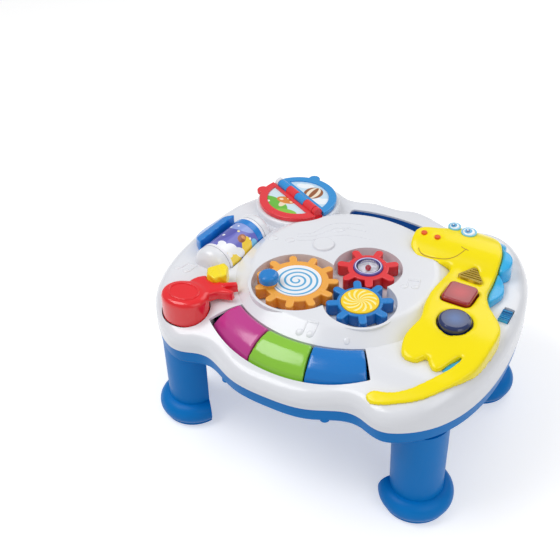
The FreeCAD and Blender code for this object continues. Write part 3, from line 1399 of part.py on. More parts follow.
board_under = number(BOARD_TOP) - 1.6
wiring = group("wiring", [
    wire_run("wire_1", [(29.1, -10, 131), (50, -8, 134), (80, -12, 138), (100, -14, board_under - 0.8)]),
    wire_run("wire_2", [(29.1, -4, 131), (52, -1, 134), (80, -4, 138), (100, -6, board_under - 0.8)]),
    wire_run("wire_3", [(62, -112, 136.4), (76, -92, 136.4), (92, -66, 137.6), (101, -50, board_under - 0.8)]),
    wire_run("wire_4", [(-62, -112, 136.4), (-78, -101, 136.4), (-86, -108, 140), (-91.4, -119, 146.5)]),
    wire_run("wire_5", [(166.9, 0, 147), (171, 3, 148), (173, 8, 149), (174, 12, 151.5)]),
])

# Write every sub-part, each under its own name

doc.recompute()
for item in doc.Objects:
    if "Invalid" in item.State or "Error" in item.State:
        raise ValueError("%s did not compute: %s" % (item.Label, item.State))
NODES = [
    top_shell, base_shell, drum_guard, housing_screws, battery_door, battery_door_screw, batteries,
    battery_contacts, circuit_board, board_screws, key_board, contact_pads, speaker, speaker_grille, lights,
    power_switch, power_switch_knob, wiring, gear_screws, gear_washers, spiral_disc, swirl_disc, rattle_ring,
    rattle_bowl, rattle_dome, rattle_bead, crank_knob, crank_pin, key_pins, dinosaur, dinosaur_spines,
    dinosaur_eyes, dinosaur_eye_rings, dinosaur_nostrils, square_light_button, round_light_button,
    flip_leaf_red, flip_leaf_blue, flip_knuckles_red, flip_knuckles_blue, flip_card_red, flip_card_blue,
    flip_pin, drum_core, drum_label, drum_trim,
    drum_axle, bird_button, bird_comb, bird_pad,
] + legs + gears + key_nodes
for item in NODES:
    shape = item.Shape
    if shape.isNull() or not shape.isValid():
        raise ValueError("%s has no sound shape" % item.Label)
    shape.exportStep("parts/" + item.Label + ".step")
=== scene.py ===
import math

import bmesh
import bpy
from mathutils import Matrix, Vector


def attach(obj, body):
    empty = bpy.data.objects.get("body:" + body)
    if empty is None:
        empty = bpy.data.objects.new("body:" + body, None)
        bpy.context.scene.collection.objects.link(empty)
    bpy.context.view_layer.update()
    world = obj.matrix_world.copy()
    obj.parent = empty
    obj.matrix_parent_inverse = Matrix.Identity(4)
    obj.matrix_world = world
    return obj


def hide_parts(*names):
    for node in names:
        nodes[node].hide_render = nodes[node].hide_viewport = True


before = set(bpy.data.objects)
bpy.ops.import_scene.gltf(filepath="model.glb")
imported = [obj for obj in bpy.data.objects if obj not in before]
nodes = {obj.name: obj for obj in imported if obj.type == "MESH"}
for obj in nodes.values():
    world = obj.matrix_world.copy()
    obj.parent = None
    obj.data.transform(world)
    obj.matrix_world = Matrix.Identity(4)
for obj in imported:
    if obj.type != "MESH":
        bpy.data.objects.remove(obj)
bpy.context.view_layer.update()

MM = 0.001

# ---- Base, battery door and legs ----
# The lower half of the table is one blue polypropylene moulding, closed below by a screwed battery door.
# The four hollow legs are blown in the same blue and push up into sockets in it.
# Their skin is smooth with a very fine grain, a little duller than the lid above.


def srgb(code):
    """A colour written as six hex digits, in the linear values that shaders take."""
    parts = [int(code[i:i + 2], 16) / 255 for i in (0, 2, 4)]
    return (*[c / 12.92 if c < 0.04045 else ((c + 0.055) / 1.055) ** 2.4 for c in parts], 1)


def add(tree, kind, inputs=(), **settings):
    """A shader node with its settings, and its inputs as plain values or as links."""
    made = tree.nodes.new("ShaderNode" + kind)
    for key, value in settings.items():
        setattr(made, key, value)
    for key, value in dict(inputs).items():
        if isinstance(value, bpy.types.NodeSocket):
            tree.links.new(value, made.inputs[key])
        else:
            made.inputs[key].default_value = value
    return made


def reckon(tree, operation, *values):
    return add(tree, "Math", dict(enumerate(values)), operation=operation).outputs[0]


def edge(tree, value, low, high):
    """0 below low, 1 above high and a soft step between them."""
    return add(tree, "MapRange", {"Value": value, "From Min": low, "From Max": high},
               interpolation_type="SMOOTHSTEP").outputs["Result"]


def coloured(tree, mask, under, over):
    return add(tree, "Mix", {"Factor": mask, "A": under, "B": over}, data_type="RGBA").outputs["Result"]


def open_group(name, inputs, outputs):
    group = bpy.data.node_groups.new(name, "ShaderNodeTree")
    for side, sockets in (("INPUT", inputs), ("OUTPUT", outputs)):
        for title, kind in sockets:
            group.interface.new_socket(title, in_out=side, socket_type="NodeSocket" + kind)
    return group, group.nodes.new("NodeGroupInput").outputs, group.nodes.new("NodeGroupOutput").inputs


def make_skin():
    """The skin of moulded plastic: its colour drifts a little, its gloss is cloudy, its surface faintly grained."""
    tree, given, result = open_group(
        "moulded skin", (("Colour", "Color"), ("Drift", "Float"), ("Gloss", "Float"), ("Grain", "Float")),
        (("Colour", "Color"), ("Roughness", "Float"), ("Normal", "Vector")))
    place = add(tree, "TexCoord").outputs["Object"]
    broad = add(tree, "TexNoise", {"Vector": place, "Scale": 16, "Detail": 3}).outputs["Fac"]
    swing = reckon(tree, "MULTIPLY_ADD", reckon(tree, "SUBTRACT", broad, 0.5), given["Drift"], 1)
    shade = add(tree, "VectorMath", {0: given["Colour"], "Scale": swing}, operation="SCALE")
    tree.links.new(shade.outputs["Vector"], result["Colour"])
    cloudy = add(tree, "TexNoise", {"Vector": place, "Scale": 70, "Detail": 5}).outputs["Fac"]
    tree.links.new(reckon(tree, "MULTIPLY_ADD", reckon(tree, "SUBTRACT", cloudy, 0.5), 0.22, given["Gloss"]),
                   result["Roughness"])
    fine = add(tree, "TexNoise", {"Vector": place, "Scale": 1100, "Detail": 2}).outputs["Fac"]
    waves = add(tree, "TexNoise", {"Vector": place, "Scale": 55, "Detail": 1}).outputs["Fac"]
    height = reckon(tree, "MULTIPLY_ADD", waves, 3, fine)
    bump = add(tree, "Bump", {"Strength": given["Grain"], "Distance": 0.00012, "Height": height})
    tree.links.new(bump.outputs["Normal"], result["Normal"])
    return tree


skin_group = make_skin()


def plastic(name, code, gloss=0.3, drift=0.14, grain=0.35, coat=0.0, through=0.0, shine=0.5):
    """A moulded plastic. Its colour can be replaced by linking a pattern to the skin's Colour."""
    mat = bpy.data.materials.new(name)
    mat.use_nodes = True
    tree = mat.node_tree
    shader = tree.nodes["Principled BSDF"]
    skin = add(tree, "Group", name="skin", node_tree=skin_group)
    skin.inputs["Colour"].default_value = srgb(code)
    skin.inputs["Drift"].default_value = drift
    skin.inputs["Gloss"].default_value = gloss
    skin.inputs["Grain"].default_value = grain
    tree.links.new(skin.outputs["Colour"], shader.inputs["Base Color"])
    tree.links.new(skin.outputs["Roughness"], shader.inputs["Roughness"])
    tree.links.new(skin.outputs["Normal"], shader.inputs["Normal"])
    shader.inputs["Specular IOR Level"].default_value = shine
    shader.inputs["Coat Weight"].default_value = coat
    shader.inputs["Coat Roughness"].default_value = 0.12
    shader.inputs["Transmission Weight"].default_value = through
    return mat


def dress(mat, *names):
    for name in names:
        nodes[name].data.materials.clear()
        nodes[name].data.materials.append(mat)


base_blue = plastic("base_blue", "0078C8", gloss=0.36, shine=0.16)
dress(base_blue, "base_shell", "battery_door", "leg_front_left", "leg_front_right", "leg_back_left",
      "leg_back_right")

# ---- Lid with its raised music signs ----
# The lid is a glossy white ABS moulding with a raised round middle and one red hinge lug. The walls down its grip
# are painted dark blue: the blue of the base seen there, darkened as painted shade in the hole.
# Its notes, curved lines and buttons of plain plastic are part of the same moulding, raised about a millimetre.

lid_white = plastic("lid_white", "E8EAF0", gloss=0.22, drift=0.05, grain=0.25, coat=0.25)
tree = lid_white.node_tree
place = add(tree, "TexCoord").outputs["Object"]
axes = add(tree, "SeparateXYZ", {0: place}).outputs
grip_half_length, grip_front, grip_back, grip_top = 56 * MM, 98 * MM, 140.5 * MM, 156 * MM
grip = [edge(tree, reckon(tree, "ABSOLUTE", axes["X"]), grip_half_length, grip_half_length - 0.5 * MM),
        edge(tree, axes["Y"], grip_front, grip_front + 0.5 * MM),
        edge(tree, axes["Y"], grip_back, grip_back - 0.5 * MM),
        edge(tree, axes["Z"], grip_top, grip_top - 0.4 * MM)]
# Below the grip's top its walls are painted dark blue: the base's blue, darkened as painted shade in the hole.
grip_base_blue_and_shade = reckon(tree, "MULTIPLY", reckon(tree, "MULTIPLY", grip[0], grip[1]),
               reckon(tree, "MULTIPLY", grip[2], grip[3]))
lug_middle = (-75 * MM, 72.2 * MM, 179.5 * MM)
lug_reach, lug_foot = 8.6 * MM, 173.2 * MM
from_lug = add(tree, "VectorMath", {0: place, 1: lug_middle}, operation="DISTANCE").outputs["Value"]
red_lug = reckon(tree, "MULTIPLY", edge(tree, from_lug, lug_reach, lug_reach - 0.2 * MM),
                 edge(tree, axes["Z"], lug_foot, lug_foot + 0.3 * MM))
with_grip_blue_and_shade = coloured(tree, grip_base_blue_and_shade, srgb("E8EAF0"), srgb("1C5CAC"))
tree.links.new(coloured(tree, red_lug, with_grip_blue_and_shade, srgb("E8323C")), tree.nodes["skin"].inputs["Colour"])
dress(lid_white, "top_shell")


def piece(name, shape, mat, body, smooth=True):
    """A finished piece of the visual model: its place is in its mesh, and it rides on a body."""
    mesh = bpy.data.meshes.new(name)
    shape.to_mesh(mesh)
    shape.free()
    made = bpy.data.objects.new(name, mesh)
    bpy.context.collection.objects.link(made)
    mesh.materials.append(mat)
    mesh.polygons.foreach_set("use_smooth", [smooth] * len(mesh.polygons))
    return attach(made, body)


def lie_on(shape, carrier, sunk):
    """Lowers each point of a flat shape on to the moulding below it, or level with the lowest where none is."""
    bpy.context.view_layer.update()
    hits = [carrier.ray_cast(Vector((vert.co.x, vert.co.y, 0.3)), Vector((0, 0, -1))) for vert in shape.verts]
    lowest = min(spot.z for found, spot, _, _ in hits if found)
    for vert, (found, spot, _, _) in zip(shape.verts, hits):
        vert.co.z += (spot.z if found else lowest) - sunk


def pebble(shape, x, y, long, wide, high, turn=0.0):
    """A flat rounded lump, in millimetres, turned in degrees."""
    made = bmesh.ops.create_uvsphere(shape, u_segments=28, v_segments=14, radius=1)["verts"]
    place = (Matrix.Translation(Vector((x, y, 0)) * MM) @ Matrix.Rotation(math.radians(turn), 4, "Z")
             @ Matrix.Diagonal((long * MM, wide * MM, high * MM, 1)))
    bmesh.ops.transform(shape, matrix=place, verts=made)


def rod(shape, start, end, wide, high):
    """A bar with rounded edges between two points of the lid, in millimetres."""
    start, end = Vector((*start, 0)), Vector((*end, 0))
    way = end - start
    made = bmesh.ops.create_cube(shape, size=1)["verts"]
    place = (Matrix.Translation((start + end) / 2 * MM) @ Matrix.Rotation(math.atan2(way.y, way.x), 4, "Z")
             @ Matrix.Diagonal((way.length * MM, wide * MM, 2 * high * MM, 1)))
    bmesh.ops.transform(shape, matrix=place, verts=made)
    corners = list({corner for vert in made for corner in vert.link_edges})
    bmesh.ops.bevel(shape, geom=corners, offset=0.45 * min(wide, 2 * high) * MM, segments=3, profile=0.5,
                    affect="EDGES", material=-1)


def pair_of_notes(shape, x, y, size, turn):
    """Two joined notes: round heads, upright stems and a thick beam."""
    turned = Matrix.Rotation(math.radians(turn), 2)

    def at(across, up):
        spot = turned @ Vector((across, up)) * size
        return (x + spot.x, y + spot.y)

    for across in (-6, 6):
        pebble(shape, *at(across, -5 + across / 6), 4.4 * size, 3.4 * size, 1.3, turn + 20)
        rod(shape, at(across + 3.4, -4 + across / 6), at(across + 3.4, 8 + across / 6), 1.9 * size, 0.8)
    rod(shape, at(-3.4, 7), at(10.2, 9), 3.4 * size, 0.9)


signs = bmesh.new()
pair_of_notes(signs, -159.5, -71.4, 0.95, -8)
pair_of_notes(signs, 11.2, -104.1, 0.9, 0)
pair_of_notes(signs, 74, 2.7, 0.95, 14)
pebble(signs, 119, 139, 4.4, 3.4, 1.4, 20)
pebble(signs, 139, 122, 3.2, 3.2, 1.3)
pebble(signs, -134.1, -88.9, 3.4, 3.4, 1.4)
pebble(signs, 52, -98, 3.2, 3.2, 1.4)
pebble(signs, -93.9, 5.9, 6, 4.6, 1.6, 15)
pebble(signs, -75, 11.3, 5.4, 4.2, 1.6, 35)
pebble(signs, -37.5, 54, 6.5, 4.2, 1.5, 25)
rod(signs, (-31.8, 56), (-28.5, 66), 1.7, 0.8)
lie_on(signs, nodes["top_shell"], 0.15 * MM)
piece("lid_music_signs", signs, lid_white, "table")


def smooth_line(points, thick):
    """A thin round line through guide points given in millimetres, as a mesh."""
    guide = bpy.data.curves.new("guide", "CURVE")
    guide.dimensions = "3D"
    guide.bevel_depth = thick * MM
    guide.bevel_resolution = 3
    guide.resolution_u = 10
    guide.use_fill_caps = True
    spline = guide.splines.new("NURBS")
    spline.points.add(len(points) - 1)
    for point, place in zip(spline.points, points):
        point.co = (place[0] * MM, place[1] * MM, 0, 1)
    spline.order_u = 3
    spline.use_endpoint_u = True
    holder = bpy.data.objects.new("guide", guide)
    mesh = bpy.data.meshes.new_from_object(holder)
    shape = bmesh.new()
    shape.from_mesh(mesh)
    bpy.data.objects.remove(holder)
    bpy.data.meshes.remove(mesh)
    bmesh.ops.recalc_face_normals(shape, faces=shape.faces)
    return shape


stave_lines = (
    ((-74, 26), (-60, 31), (-55, 52), (-44, 70), (-16, 77)),
    ((-72, 21), (-56, 27), (-46, 50), (-28, 64), (-8, 67)),
    ((-69, 15), (-52, 22), (-38, 42), (-20, 53), (3, 55)),
)
for number, guide_points in enumerate(stave_lines):
    line = smooth_line(guide_points, 0.55)
    lie_on(line, nodes["top_shell"], 0.1 * MM)
    piece(f"lid_stave_line_{number + 1}", line, lid_white, "table")

# ---- Play wheels, crank and their printed discs ----
# Three toothed wheels of glossy ABS mesh on steel shouldered screws in wells of the lid.
# The orange one has a crank knob and a disc printed with a spiral, the blue one a disc moulded with curved blades.


def make_round_axis():
    """Distance from an upright axis, and the angle round it."""
    tree, given, result = open_group("round an axis", (("Middle", "Vector"),),
                                     (("Distance", "Float"), ("Angle", "Float")))
    place = add(tree, "TexCoord").outputs["Object"]
    moved = add(tree, "VectorMath", {0: place, 1: given["Middle"]}, operation="SUBTRACT").outputs["Vector"]
    axes = add(tree, "SeparateXYZ", {0: moved}).outputs
    flat = add(tree, "CombineXYZ", {0: axes["X"], 1: axes["Y"]}).outputs["Vector"]
    tree.links.new(add(tree, "VectorMath", {0: flat}, operation="LENGTH").outputs["Value"], result["Distance"])
    tree.links.new(reckon(tree, "ARCTAN2", axes["Y"], axes["X"]), result["Angle"])
    return tree


round_axis = make_round_axis()


def turned_round(mat, x, y):
    """The distance and angle sockets of a pattern round an upright axis, in metres and radians."""
    axis = add(mat.node_tree, "Group", node_tree=round_axis)
    axis.inputs["Middle"].default_value = (x * MM, y * MM, 0)
    return axis.outputs["Distance"], axis.outputs["Angle"]


def colour_with(mat, colour):
    mat.node_tree.links.new(colour, mat.node_tree.nodes["skin"].inputs["Colour"])


def paler_above(mat, height, under, over):
    """The flat top of a wheel catches the light and looks paler than its sides."""
    tree = mat.node_tree
    place = add(tree, "TexCoord").outputs["Object"]
    level = add(tree, "SeparateXYZ", {0: place}).outputs["Z"]
    mask = edge(tree, level, (height - 2.4) * MM, height * MM)
    colour_with(mat, coloured(tree, mask, srgb(under), srgb(over)))


ORANGE_WHEEL, BLUE_WHEEL, RED_WHEEL = (-32, -49), (41.14, -47.98), (23.49, 7.01)
WHEEL_TOP = 179
wheel_orange = plastic("wheel_orange", "F2A23A", gloss=0.26, coat=0.3)
paler_above(wheel_orange, WHEEL_TOP, "E8902A", "F6AE48")
wheel_blue = plastic("wheel_blue", "0A74C4", gloss=0.24, coat=0.3)
paler_above(wheel_blue, WHEEL_TOP, "0866B4", "1180D0")
wheel_red = plastic("wheel_red", "E0242C", gloss=0.24, coat=0.3)
paler_above(wheel_red, WHEEL_TOP, "CC1820", "E83038")
dress(wheel_orange, "orange_gear", "crank_pin")
dress(wheel_blue, "blue_gear", "crank_knob")
dress(wheel_red, "red_gear")

spiral_print = plastic("spiral_print", "FFFFFF", gloss=0.3, drift=0.03, grain=0.1)
tree = spiral_print.node_tree
distance, angle = turned_round(spiral_print, *ORANGE_WHEEL)
spiral_pitch = 6.3 * MM
turns = reckon(tree, "DIVIDE", angle, 2 * math.pi)
winding = reckon(tree, "FRACT", reckon(tree, "ADD", reckon(tree, "DIVIDE", distance, spiral_pitch), turns))
off_line = reckon(tree, "ABSOLUTE", reckon(tree, "SUBTRACT", winding, 0.5))
stroke = edge(tree, off_line, 0.21, 0.15)
inside = edge(tree, distance, 24.2 * MM, 23.8 * MM)
clear_middle = edge(tree, distance, 1.6 * MM, 2.4 * MM)
ink = reckon(tree, "MULTIPLY", stroke, reckon(tree, "MULTIPLY", inside, clear_middle))
colour_with(spiral_print, coloured(tree, ink, srgb("F4F6FA"), srgb("58ACDC")))
dress(spiral_print, "spiral_disc")

swirl_yellow = plastic("swirl_yellow", "FFE020", gloss=0.3, coat=0.2)
tree = swirl_yellow.node_tree
distance, angle = turned_round(swirl_yellow, *BLUE_WHEEL)
blades = reckon(tree, "SINE", reckon(tree, "MULTIPLY", reckon(tree, "MULTIPLY_ADD", distance, 62, angle), 12))
mask = reckon(tree, "MULTIPLY", edge(tree, blades, 0.15, 0.5), edge(tree, distance, 17.5 * MM, 16.5 * MM))
colour_with(swirl_yellow, coloured(tree, mask, srgb("FFD60A"), srgb("FFF6A8")))
dress(swirl_yellow, "swirl_disc")

# ---- Rattle in the red wheel ----
# A loose bead rolls in a small white bowl under a clear domed window.
# The violet ring that holds the window is pressed into the wheel.

ring_violet = plastic("ring_violet", "6C64B4", gloss=0.26, coat=0.3)
tree = ring_violet.node_tree
distance, angle = turned_round(ring_violet, *RED_WHEEL)
pale_band = reckon(tree, "MULTIPLY", edge(tree, distance, 13.0 * MM, 13.2 * MM),
                   edge(tree, distance, 14.2 * MM, 14.0 * MM))
colour_with(ring_violet, coloured(tree, pale_band, srgb("625CAE"), srgb("E4E2F4")))
dress(ring_violet, "rattle_ring")

bowl_white = plastic("bowl_white", "F0F0F6", gloss=0.35)
tree = bowl_white.node_tree
distance, angle = turned_round(bowl_white, *RED_WHEEL)
colour_with(bowl_white, coloured(tree, edge(tree, distance, 10.8 * MM, 11.1 * MM), srgb("F2F2F8"), srgb("7F7CC4")))
dress(bowl_white, "rattle_bowl")
dress(plastic("bead_red", "C03040", gloss=0.2, coat=0.4), "rattle_bead")

window_clear = plastic("window_clear", "FBFCFF", gloss=0.13, drift=0.01, grain=0.02, through=1.0)
window_clear.node_tree.nodes["Principled BSDF"].inputs["IOR"].default_value = 1.2
dress(window_clear, "rattle_dome")

# ---- Picture drum and its guard ----
# A hollow drum turns on a steel axle between white end caps, with a printed sleeve and a blue trim ring.
# The printed sleeve has soft hills, clouds and dots in violet, yellow and white.


def make_oval():
    """1 inside a turned oval of a plane, 0 outside."""
    tree, given, result = open_group(
        "oval", (("Place", "Vector"), ("Middle", "Vector"), ("Size", "Vector"), ("Turn", "Float")),
        (("Mask", "Float"),))
    moved = add(tree, "VectorMath", {0: given["Place"], 1: given["Middle"]}, operation="SUBTRACT")
    turned = add(tree, "VectorRotate", {"Vector": moved.outputs["Vector"], "Angle": given["Turn"]},
                 rotation_type="Z_AXIS")
    sized = add(tree, "VectorMath", {0: turned.outputs["Vector"], 1: given["Size"]}, operation="DIVIDE")
    flat = add(tree, "VectorMath", {0: sized.outputs["Vector"], 1: (1, 1, 0)}, operation="MULTIPLY")
    far = add(tree, "VectorMath", {0: flat.outputs["Vector"]}, operation="LENGTH").outputs["Value"]
    tree.links.new(edge(tree, far, 1.04, 0.96), result["Mask"])
    return tree


oval_group = make_oval()


def printed(mat, place, ground, ovals):
    """Flat colours laid over each other: each oval is x, y, half length, half width in mm, turn, colour."""
    tree = mat.node_tree
    colour = srgb(ground)
    for x, y, long, wide, turn, code in ovals:
        oval = add(tree, "Group", node_tree=oval_group)
        oval.inputs["Middle"].default_value = (x * MM, y * MM, 0)
        oval.inputs["Size"].default_value = (long * MM, wide * MM, 1)
        oval.inputs["Turn"].default_value = math.radians(-turn)
        tree.links.new(place, oval.inputs["Place"])
        colour = coloured(tree, oval.outputs["Mask"], colour, srgb(code))
    colour_with(mat, colour)


sleeve_print = plastic("sleeve_print", "FFFFFF", gloss=0.2, drift=0.04, grain=0.05, coat=0.5)
tree = sleeve_print.node_tree
drum_middle = (-134 * MM, -14.5 * MM, 163.5 * MM)
drum_radius = 21.2 * MM
drum_skew = math.radians(4.3)
place = add(tree, "TexCoord").outputs["Object"]
moved = add(tree, "VectorMath", {0: place, 1: drum_middle}, operation="SUBTRACT").outputs["Vector"]
level = add(tree, "VectorRotate", {"Vector": moved, "Angle": drum_skew}, rotation_type="Z_AXIS").outputs["Vector"]
axes = add(tree, "SeparateXYZ", {0: level}).outputs
half_turn = reckon(tree, "WRAP", reckon(tree, "ARCTAN2", axes["X"], axes["Z"]), math.pi / 2, -math.pi / 2)
unrolled = add(tree, "CombineXYZ", {0: reckon(tree, "MULTIPLY", half_turn, drum_radius), 1: axes["Y"]})
printed(sleeve_print, unrolled.outputs["Vector"], "6A6CC6", (
    (-14, 4, 17, 30, 0, "5658B4"), (2, 16, 15, 8, 20, "8FA4E4"), (30, -26, 20, 13, 20, "FFE04A"),
    (26, 0, 14, 8, -30, "FFD83A"), (8, -26, 8, 6, 0, "F8FAFF"), (15, -19, 8, 6, 20, "F8FAFF"),
    (3, -22, 5, 4, 0, "F8FAFF"), (24, -12, 8, 5, 40, "F8FAFF"), (19, -26, 3.4, 3.4, 0, "FFFFFF"),
    (13, 1, 4.6, 6.4, 10, "A05A28"), (13.5, 3.4, 3.2, 2, 10, "D89048"), (-6, -8, 1.7, 1.7, 0, "FFFFFF"),
    (4, 6, 1.5, 1.5, 0, "FFF2A0"), (-10, 10, 1.6, 1.6, 0, "FFFFFF"), (-16, -16, 1.8, 1.8, 0, "FFF2A0"),
    (-2, 14, 1.3, 1.3, 0, "FFFFFF"), (19, 10, 1.4, 1.4, 0, "FFFFFF"), (-19, 2, 1.3, 1.3, 0, "FFFFFF"),
    (-22, -9, 11, 5, 60, "8FA4E4"), (30, 13, 9, 5, 0, "7CC8F0"),
))
dress(sleeve_print, "drum_label")
dress(plastic("drum_white", "F2F2FA", gloss=0.22, drift=0.05, coat=0.3), "drum_core")
guard_blue = plastic("guard_blue", "0C82D8", gloss=0.24, coat=0.3)
dress(guard_blue, "drum_trim")


def soft_edged(node, name, body, mat, cell, rounds, low, reach):
    """The node's own form with the soft edges of a real moulding above a level, and unchanged below it.

    cell is the size of the mesh's cells in mm, rounds how often they are smoothed, and low and reach the level
    in mm over which the softening grows to its full amount, or None for low to count from the lid below."""
    mesh = nodes[node].data.copy()
    made = bpy.data.objects.new(name, mesh)
    bpy.context.collection.objects.link(made)
    shape = bmesh.new()
    shape.from_mesh(mesh)
    bmesh.ops.remove_doubles(shape, verts=shape.verts, dist=1e-6)
    shape.to_mesh(mesh)
    shape.free()
    cells = made.modifiers.new("cells", "REMESH")
    cells.mode = "VOXEL"
    cells.voxel_size = cell * MM
    finished = bpy.data.meshes.new_from_object(made.evaluated_get(bpy.context.evaluated_depsgraph_get()))
    made.modifiers.clear()
    made.data = finished
    bpy.data.meshes.remove(mesh)
    shape = bmesh.new()
    shape.from_mesh(finished)
    before = [vert.co.copy() for vert in shape.verts]
    for _ in range(rounds):
        bmesh.ops.smooth_vert(shape, verts=shape.verts, factor=0.5,
                              use_axis_x=True, use_axis_y=True, use_axis_z=True)
    for vert, start in zip(shape.verts, before):
        floor_level = low
        if low is None:
            found, spot, _, _ = nodes["top_shell"].ray_cast(Vector((start.x, start.y, 0.3)), Vector((0, 0, -1)))
            floor_level = spot.z / MM + 1 if found else 150
        share = min(1, max(0, (start.z / MM - floor_level) / reach))
        vert.co = start.lerp(vert.co, share)
    shape.to_mesh(finished)
    shape.free()
    finished.materials.clear()
    finished.materials.append(mat)
    finished.polygons.foreach_set("use_smooth", [True] * len(finished.polygons))
    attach(made, body)
    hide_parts(node)
    return made


soft_edged("drum_guard", "drum_guard_moulding", "table", guard_blue, 0.9, 12, 166, 5)

# ---- Bird button ----
# A red hollow button in the shape of a plump bird works one switch, and its yellow crest is pressed in.
# The back of the bird has a raised oval rim, and the crest is ribbed for small fingers.

bird_middle = (-123 * MM, -122 * MM)
rim_radius, rim_thick, rim_height = 14.5 * MM, 1.25 * MM, 181 * MM
bird_red = plastic("bird_red", "EC1C26", gloss=0.2, coat=0.4)
soft_edged("bird_button", "bird_moulding", "bird", bird_red, 1.0, 14, 169, 4)
rim = bmesh.new()
section = bmesh.ops.create_circle(rim, segments=14, radius=rim_thick)["verts"]
bmesh.ops.rotate(rim, verts=section, matrix=Matrix.Rotation(math.pi / 2, 3, "X"))
bmesh.ops.translate(rim, verts=section, vec=(rim_radius, 0, 0))
bmesh.ops.spin(rim, geom=rim.verts[:] + rim.edges[:], axis=(0, 0, 1), cent=(0, 0, 0),
               angle=2 * math.pi, steps=72, use_merge=True)
bmesh.ops.scale(rim, vec=(1.12, 0.86, 0.8), verts=rim.verts)
bmesh.ops.translate(rim, verts=rim.verts, vec=(*bird_middle, rim_height))
bmesh.ops.remove_doubles(rim, verts=rim.verts, dist=1e-6)
bmesh.ops.recalc_face_normals(rim, faces=rim.faces)
piece("bird_back_rim", rim, bird_red, "bird")

crest_yellow = plastic("crest_yellow", "FFE61A", gloss=0.28, coat=0.2)
tree = crest_yellow.node_tree
place = add(tree, "TexCoord").outputs["Object"]
ribs = add(tree, "TexWave", {"Vector": place, "Scale": 55, "Distortion": 1.2, "Detail": 1, "Detail Scale": 0.6},
           bands_direction="DIAGONAL")
ribbed = add(tree, "Bump", {"Strength": 0.8, "Distance": 0.0009, "Height": ribs.outputs["Fac"],
                            "Normal": tree.nodes["skin"].outputs["Normal"]})
tree.links.new(ribbed.outputs["Normal"], tree.nodes["Principled BSDF"].inputs["Normal"])
soft_edged("bird_comb", "bird_crest", "bird", crest_yellow, 0.7, 16, 169.5, 4)

# ---- Piano keys ----
# Three curved keys hinge on steel pins under the lid and press rubber pads on a small board.
# Each is a hollow ABS moulding, polished on top.

key_colours = (("left", "magenta", "C43A90"), ("middle", "green", "8CCB38"), ("right", "blue", "0078CC"))
for side, colour_name, code in key_colours:
    key_plastic = plastic(f"key_{colour_name}", code, gloss=0.2, coat=0.4)
    soft_edged(f"key_{side}", f"key_{side}_moulding", f"{side}_key", key_plastic, 1.0, 14, 152, 6)

# ---- Flip book ----
# Two half round frames, one red and one blue, turn on a pin through their knuckles like the pages of a book.
# Each frame holds a thin printed card with plain shapes: a balloon among clouds, and a mushroom on a hill.

dress(plastic("leaf_red", "E8323C", gloss=0.26, coat=0.25), "flip_leaf_red", "flip_knuckles_red")
dress(plastic("leaf_blue", "2A94DC", gloss=0.26, coat=0.25), "flip_leaf_blue", "flip_knuckles_blue")


def card_print(name, ground, ovals):
    card = plastic(name, ground, gloss=0.34, drift=0.03, grain=0.08, coat=0.15)
    printed(card, add(card.node_tree, "TexCoord").outputs["Object"], ground, ovals)
    return card


dress(card_print("card_sky", "CDE6F6", (
    (-85, 96, 11, 6, 0, "F4FAFF"), (-76, 100, 8, 5, 0, "F4FAFF"), (-118, 116, 8, 4.5, 0, "F4FAFF"),
    (-111, 119, 7, 4, 0, "F4FAFF"), (-99, 108, 11.5, 12.5, 0, "9A5A2E"), (-99, 108, 7.4, 12.4, 0, "F7EAD2"),
    (-99, 108, 3, 12.3, 0, "9A5A2E"), (-99, 94.2, 3.2, 1.2, 0, "5E3418"), (-99, 91.4, 3.6, 2.4, 0, "C07A3A"),
)), "flip_card_blue")
dress(card_print("card_hill", "D4EAF4", (
    (-112, 59, 16, 4, 0, "F6FAFF"), (-130, 62, 24, 15, -22, "6CBE3C"), (-108, 56, 14, 7, 10, "8CCB46"),
    (-120, 72, 4, 8, 0, "F3E2C4"), (-120, 79, 12, 6.6, 0, "E08A34"), (-126, 78.6, 2.6, 2, 0, "FFE9C4"),
    (-119, 83, 2, 1.4, 0, "FFE9C4"), (-112.6, 78.2, 2, 1.6, 0, "FFE9C4"), (-138, 68, 2, 2, 0, "FFFFFF"),
)), "flip_card_red")

# ---- Dinosaur panel with its buttons ----
# The yellow panel is a separate ABS moulding snapped on the lid, and light blue back plates sit under its edge.
# It carries two lit buttons, a sound grille and pressed in eyes and nostrils. Its mouth is a moulded crease, and the
# dark lines along it and the cheek are painted shade in that crease.

panel_yellow = plastic("panel_yellow", "FFEA00", gloss=0.23, drift=0.05, coat=0.15, shine=0.3)
panel = soft_edged("dinosaur", "dinosaur_moulding", "table", panel_yellow, 1.3, 16, None, 5)
plates_sky = plastic("plates_sky", "30B4F0", gloss=0.26, coat=0.25)
soft_edged("dinosaur_spines", "dinosaur_plates", "table", plates_sky, 1.0, 12, None, 5)
# The dark rods along the mouth and cheek are painted shade in the moulded crease.
painted_crease_shade = plastic("painted_crease_shade", "B88A10", gloss=0.45)
mouth = smooth_line(((58, 61), (61, 56), (75, 55.4), (90, 57.2), (100, 63), (105, 70), (107, 75)), 0.5)
lie_on(mouth, panel, 0.22 * MM)
piece("dinosaur_mouth_line", mouth, painted_crease_shade, "table")
cheek = smooth_line(((101, 76), (105, 74), (110, 74)), 0.5)
lie_on(cheek, panel, 0.22 * MM)
piece("dinosaur_cheek_line", cheek, painted_crease_shade, "table")

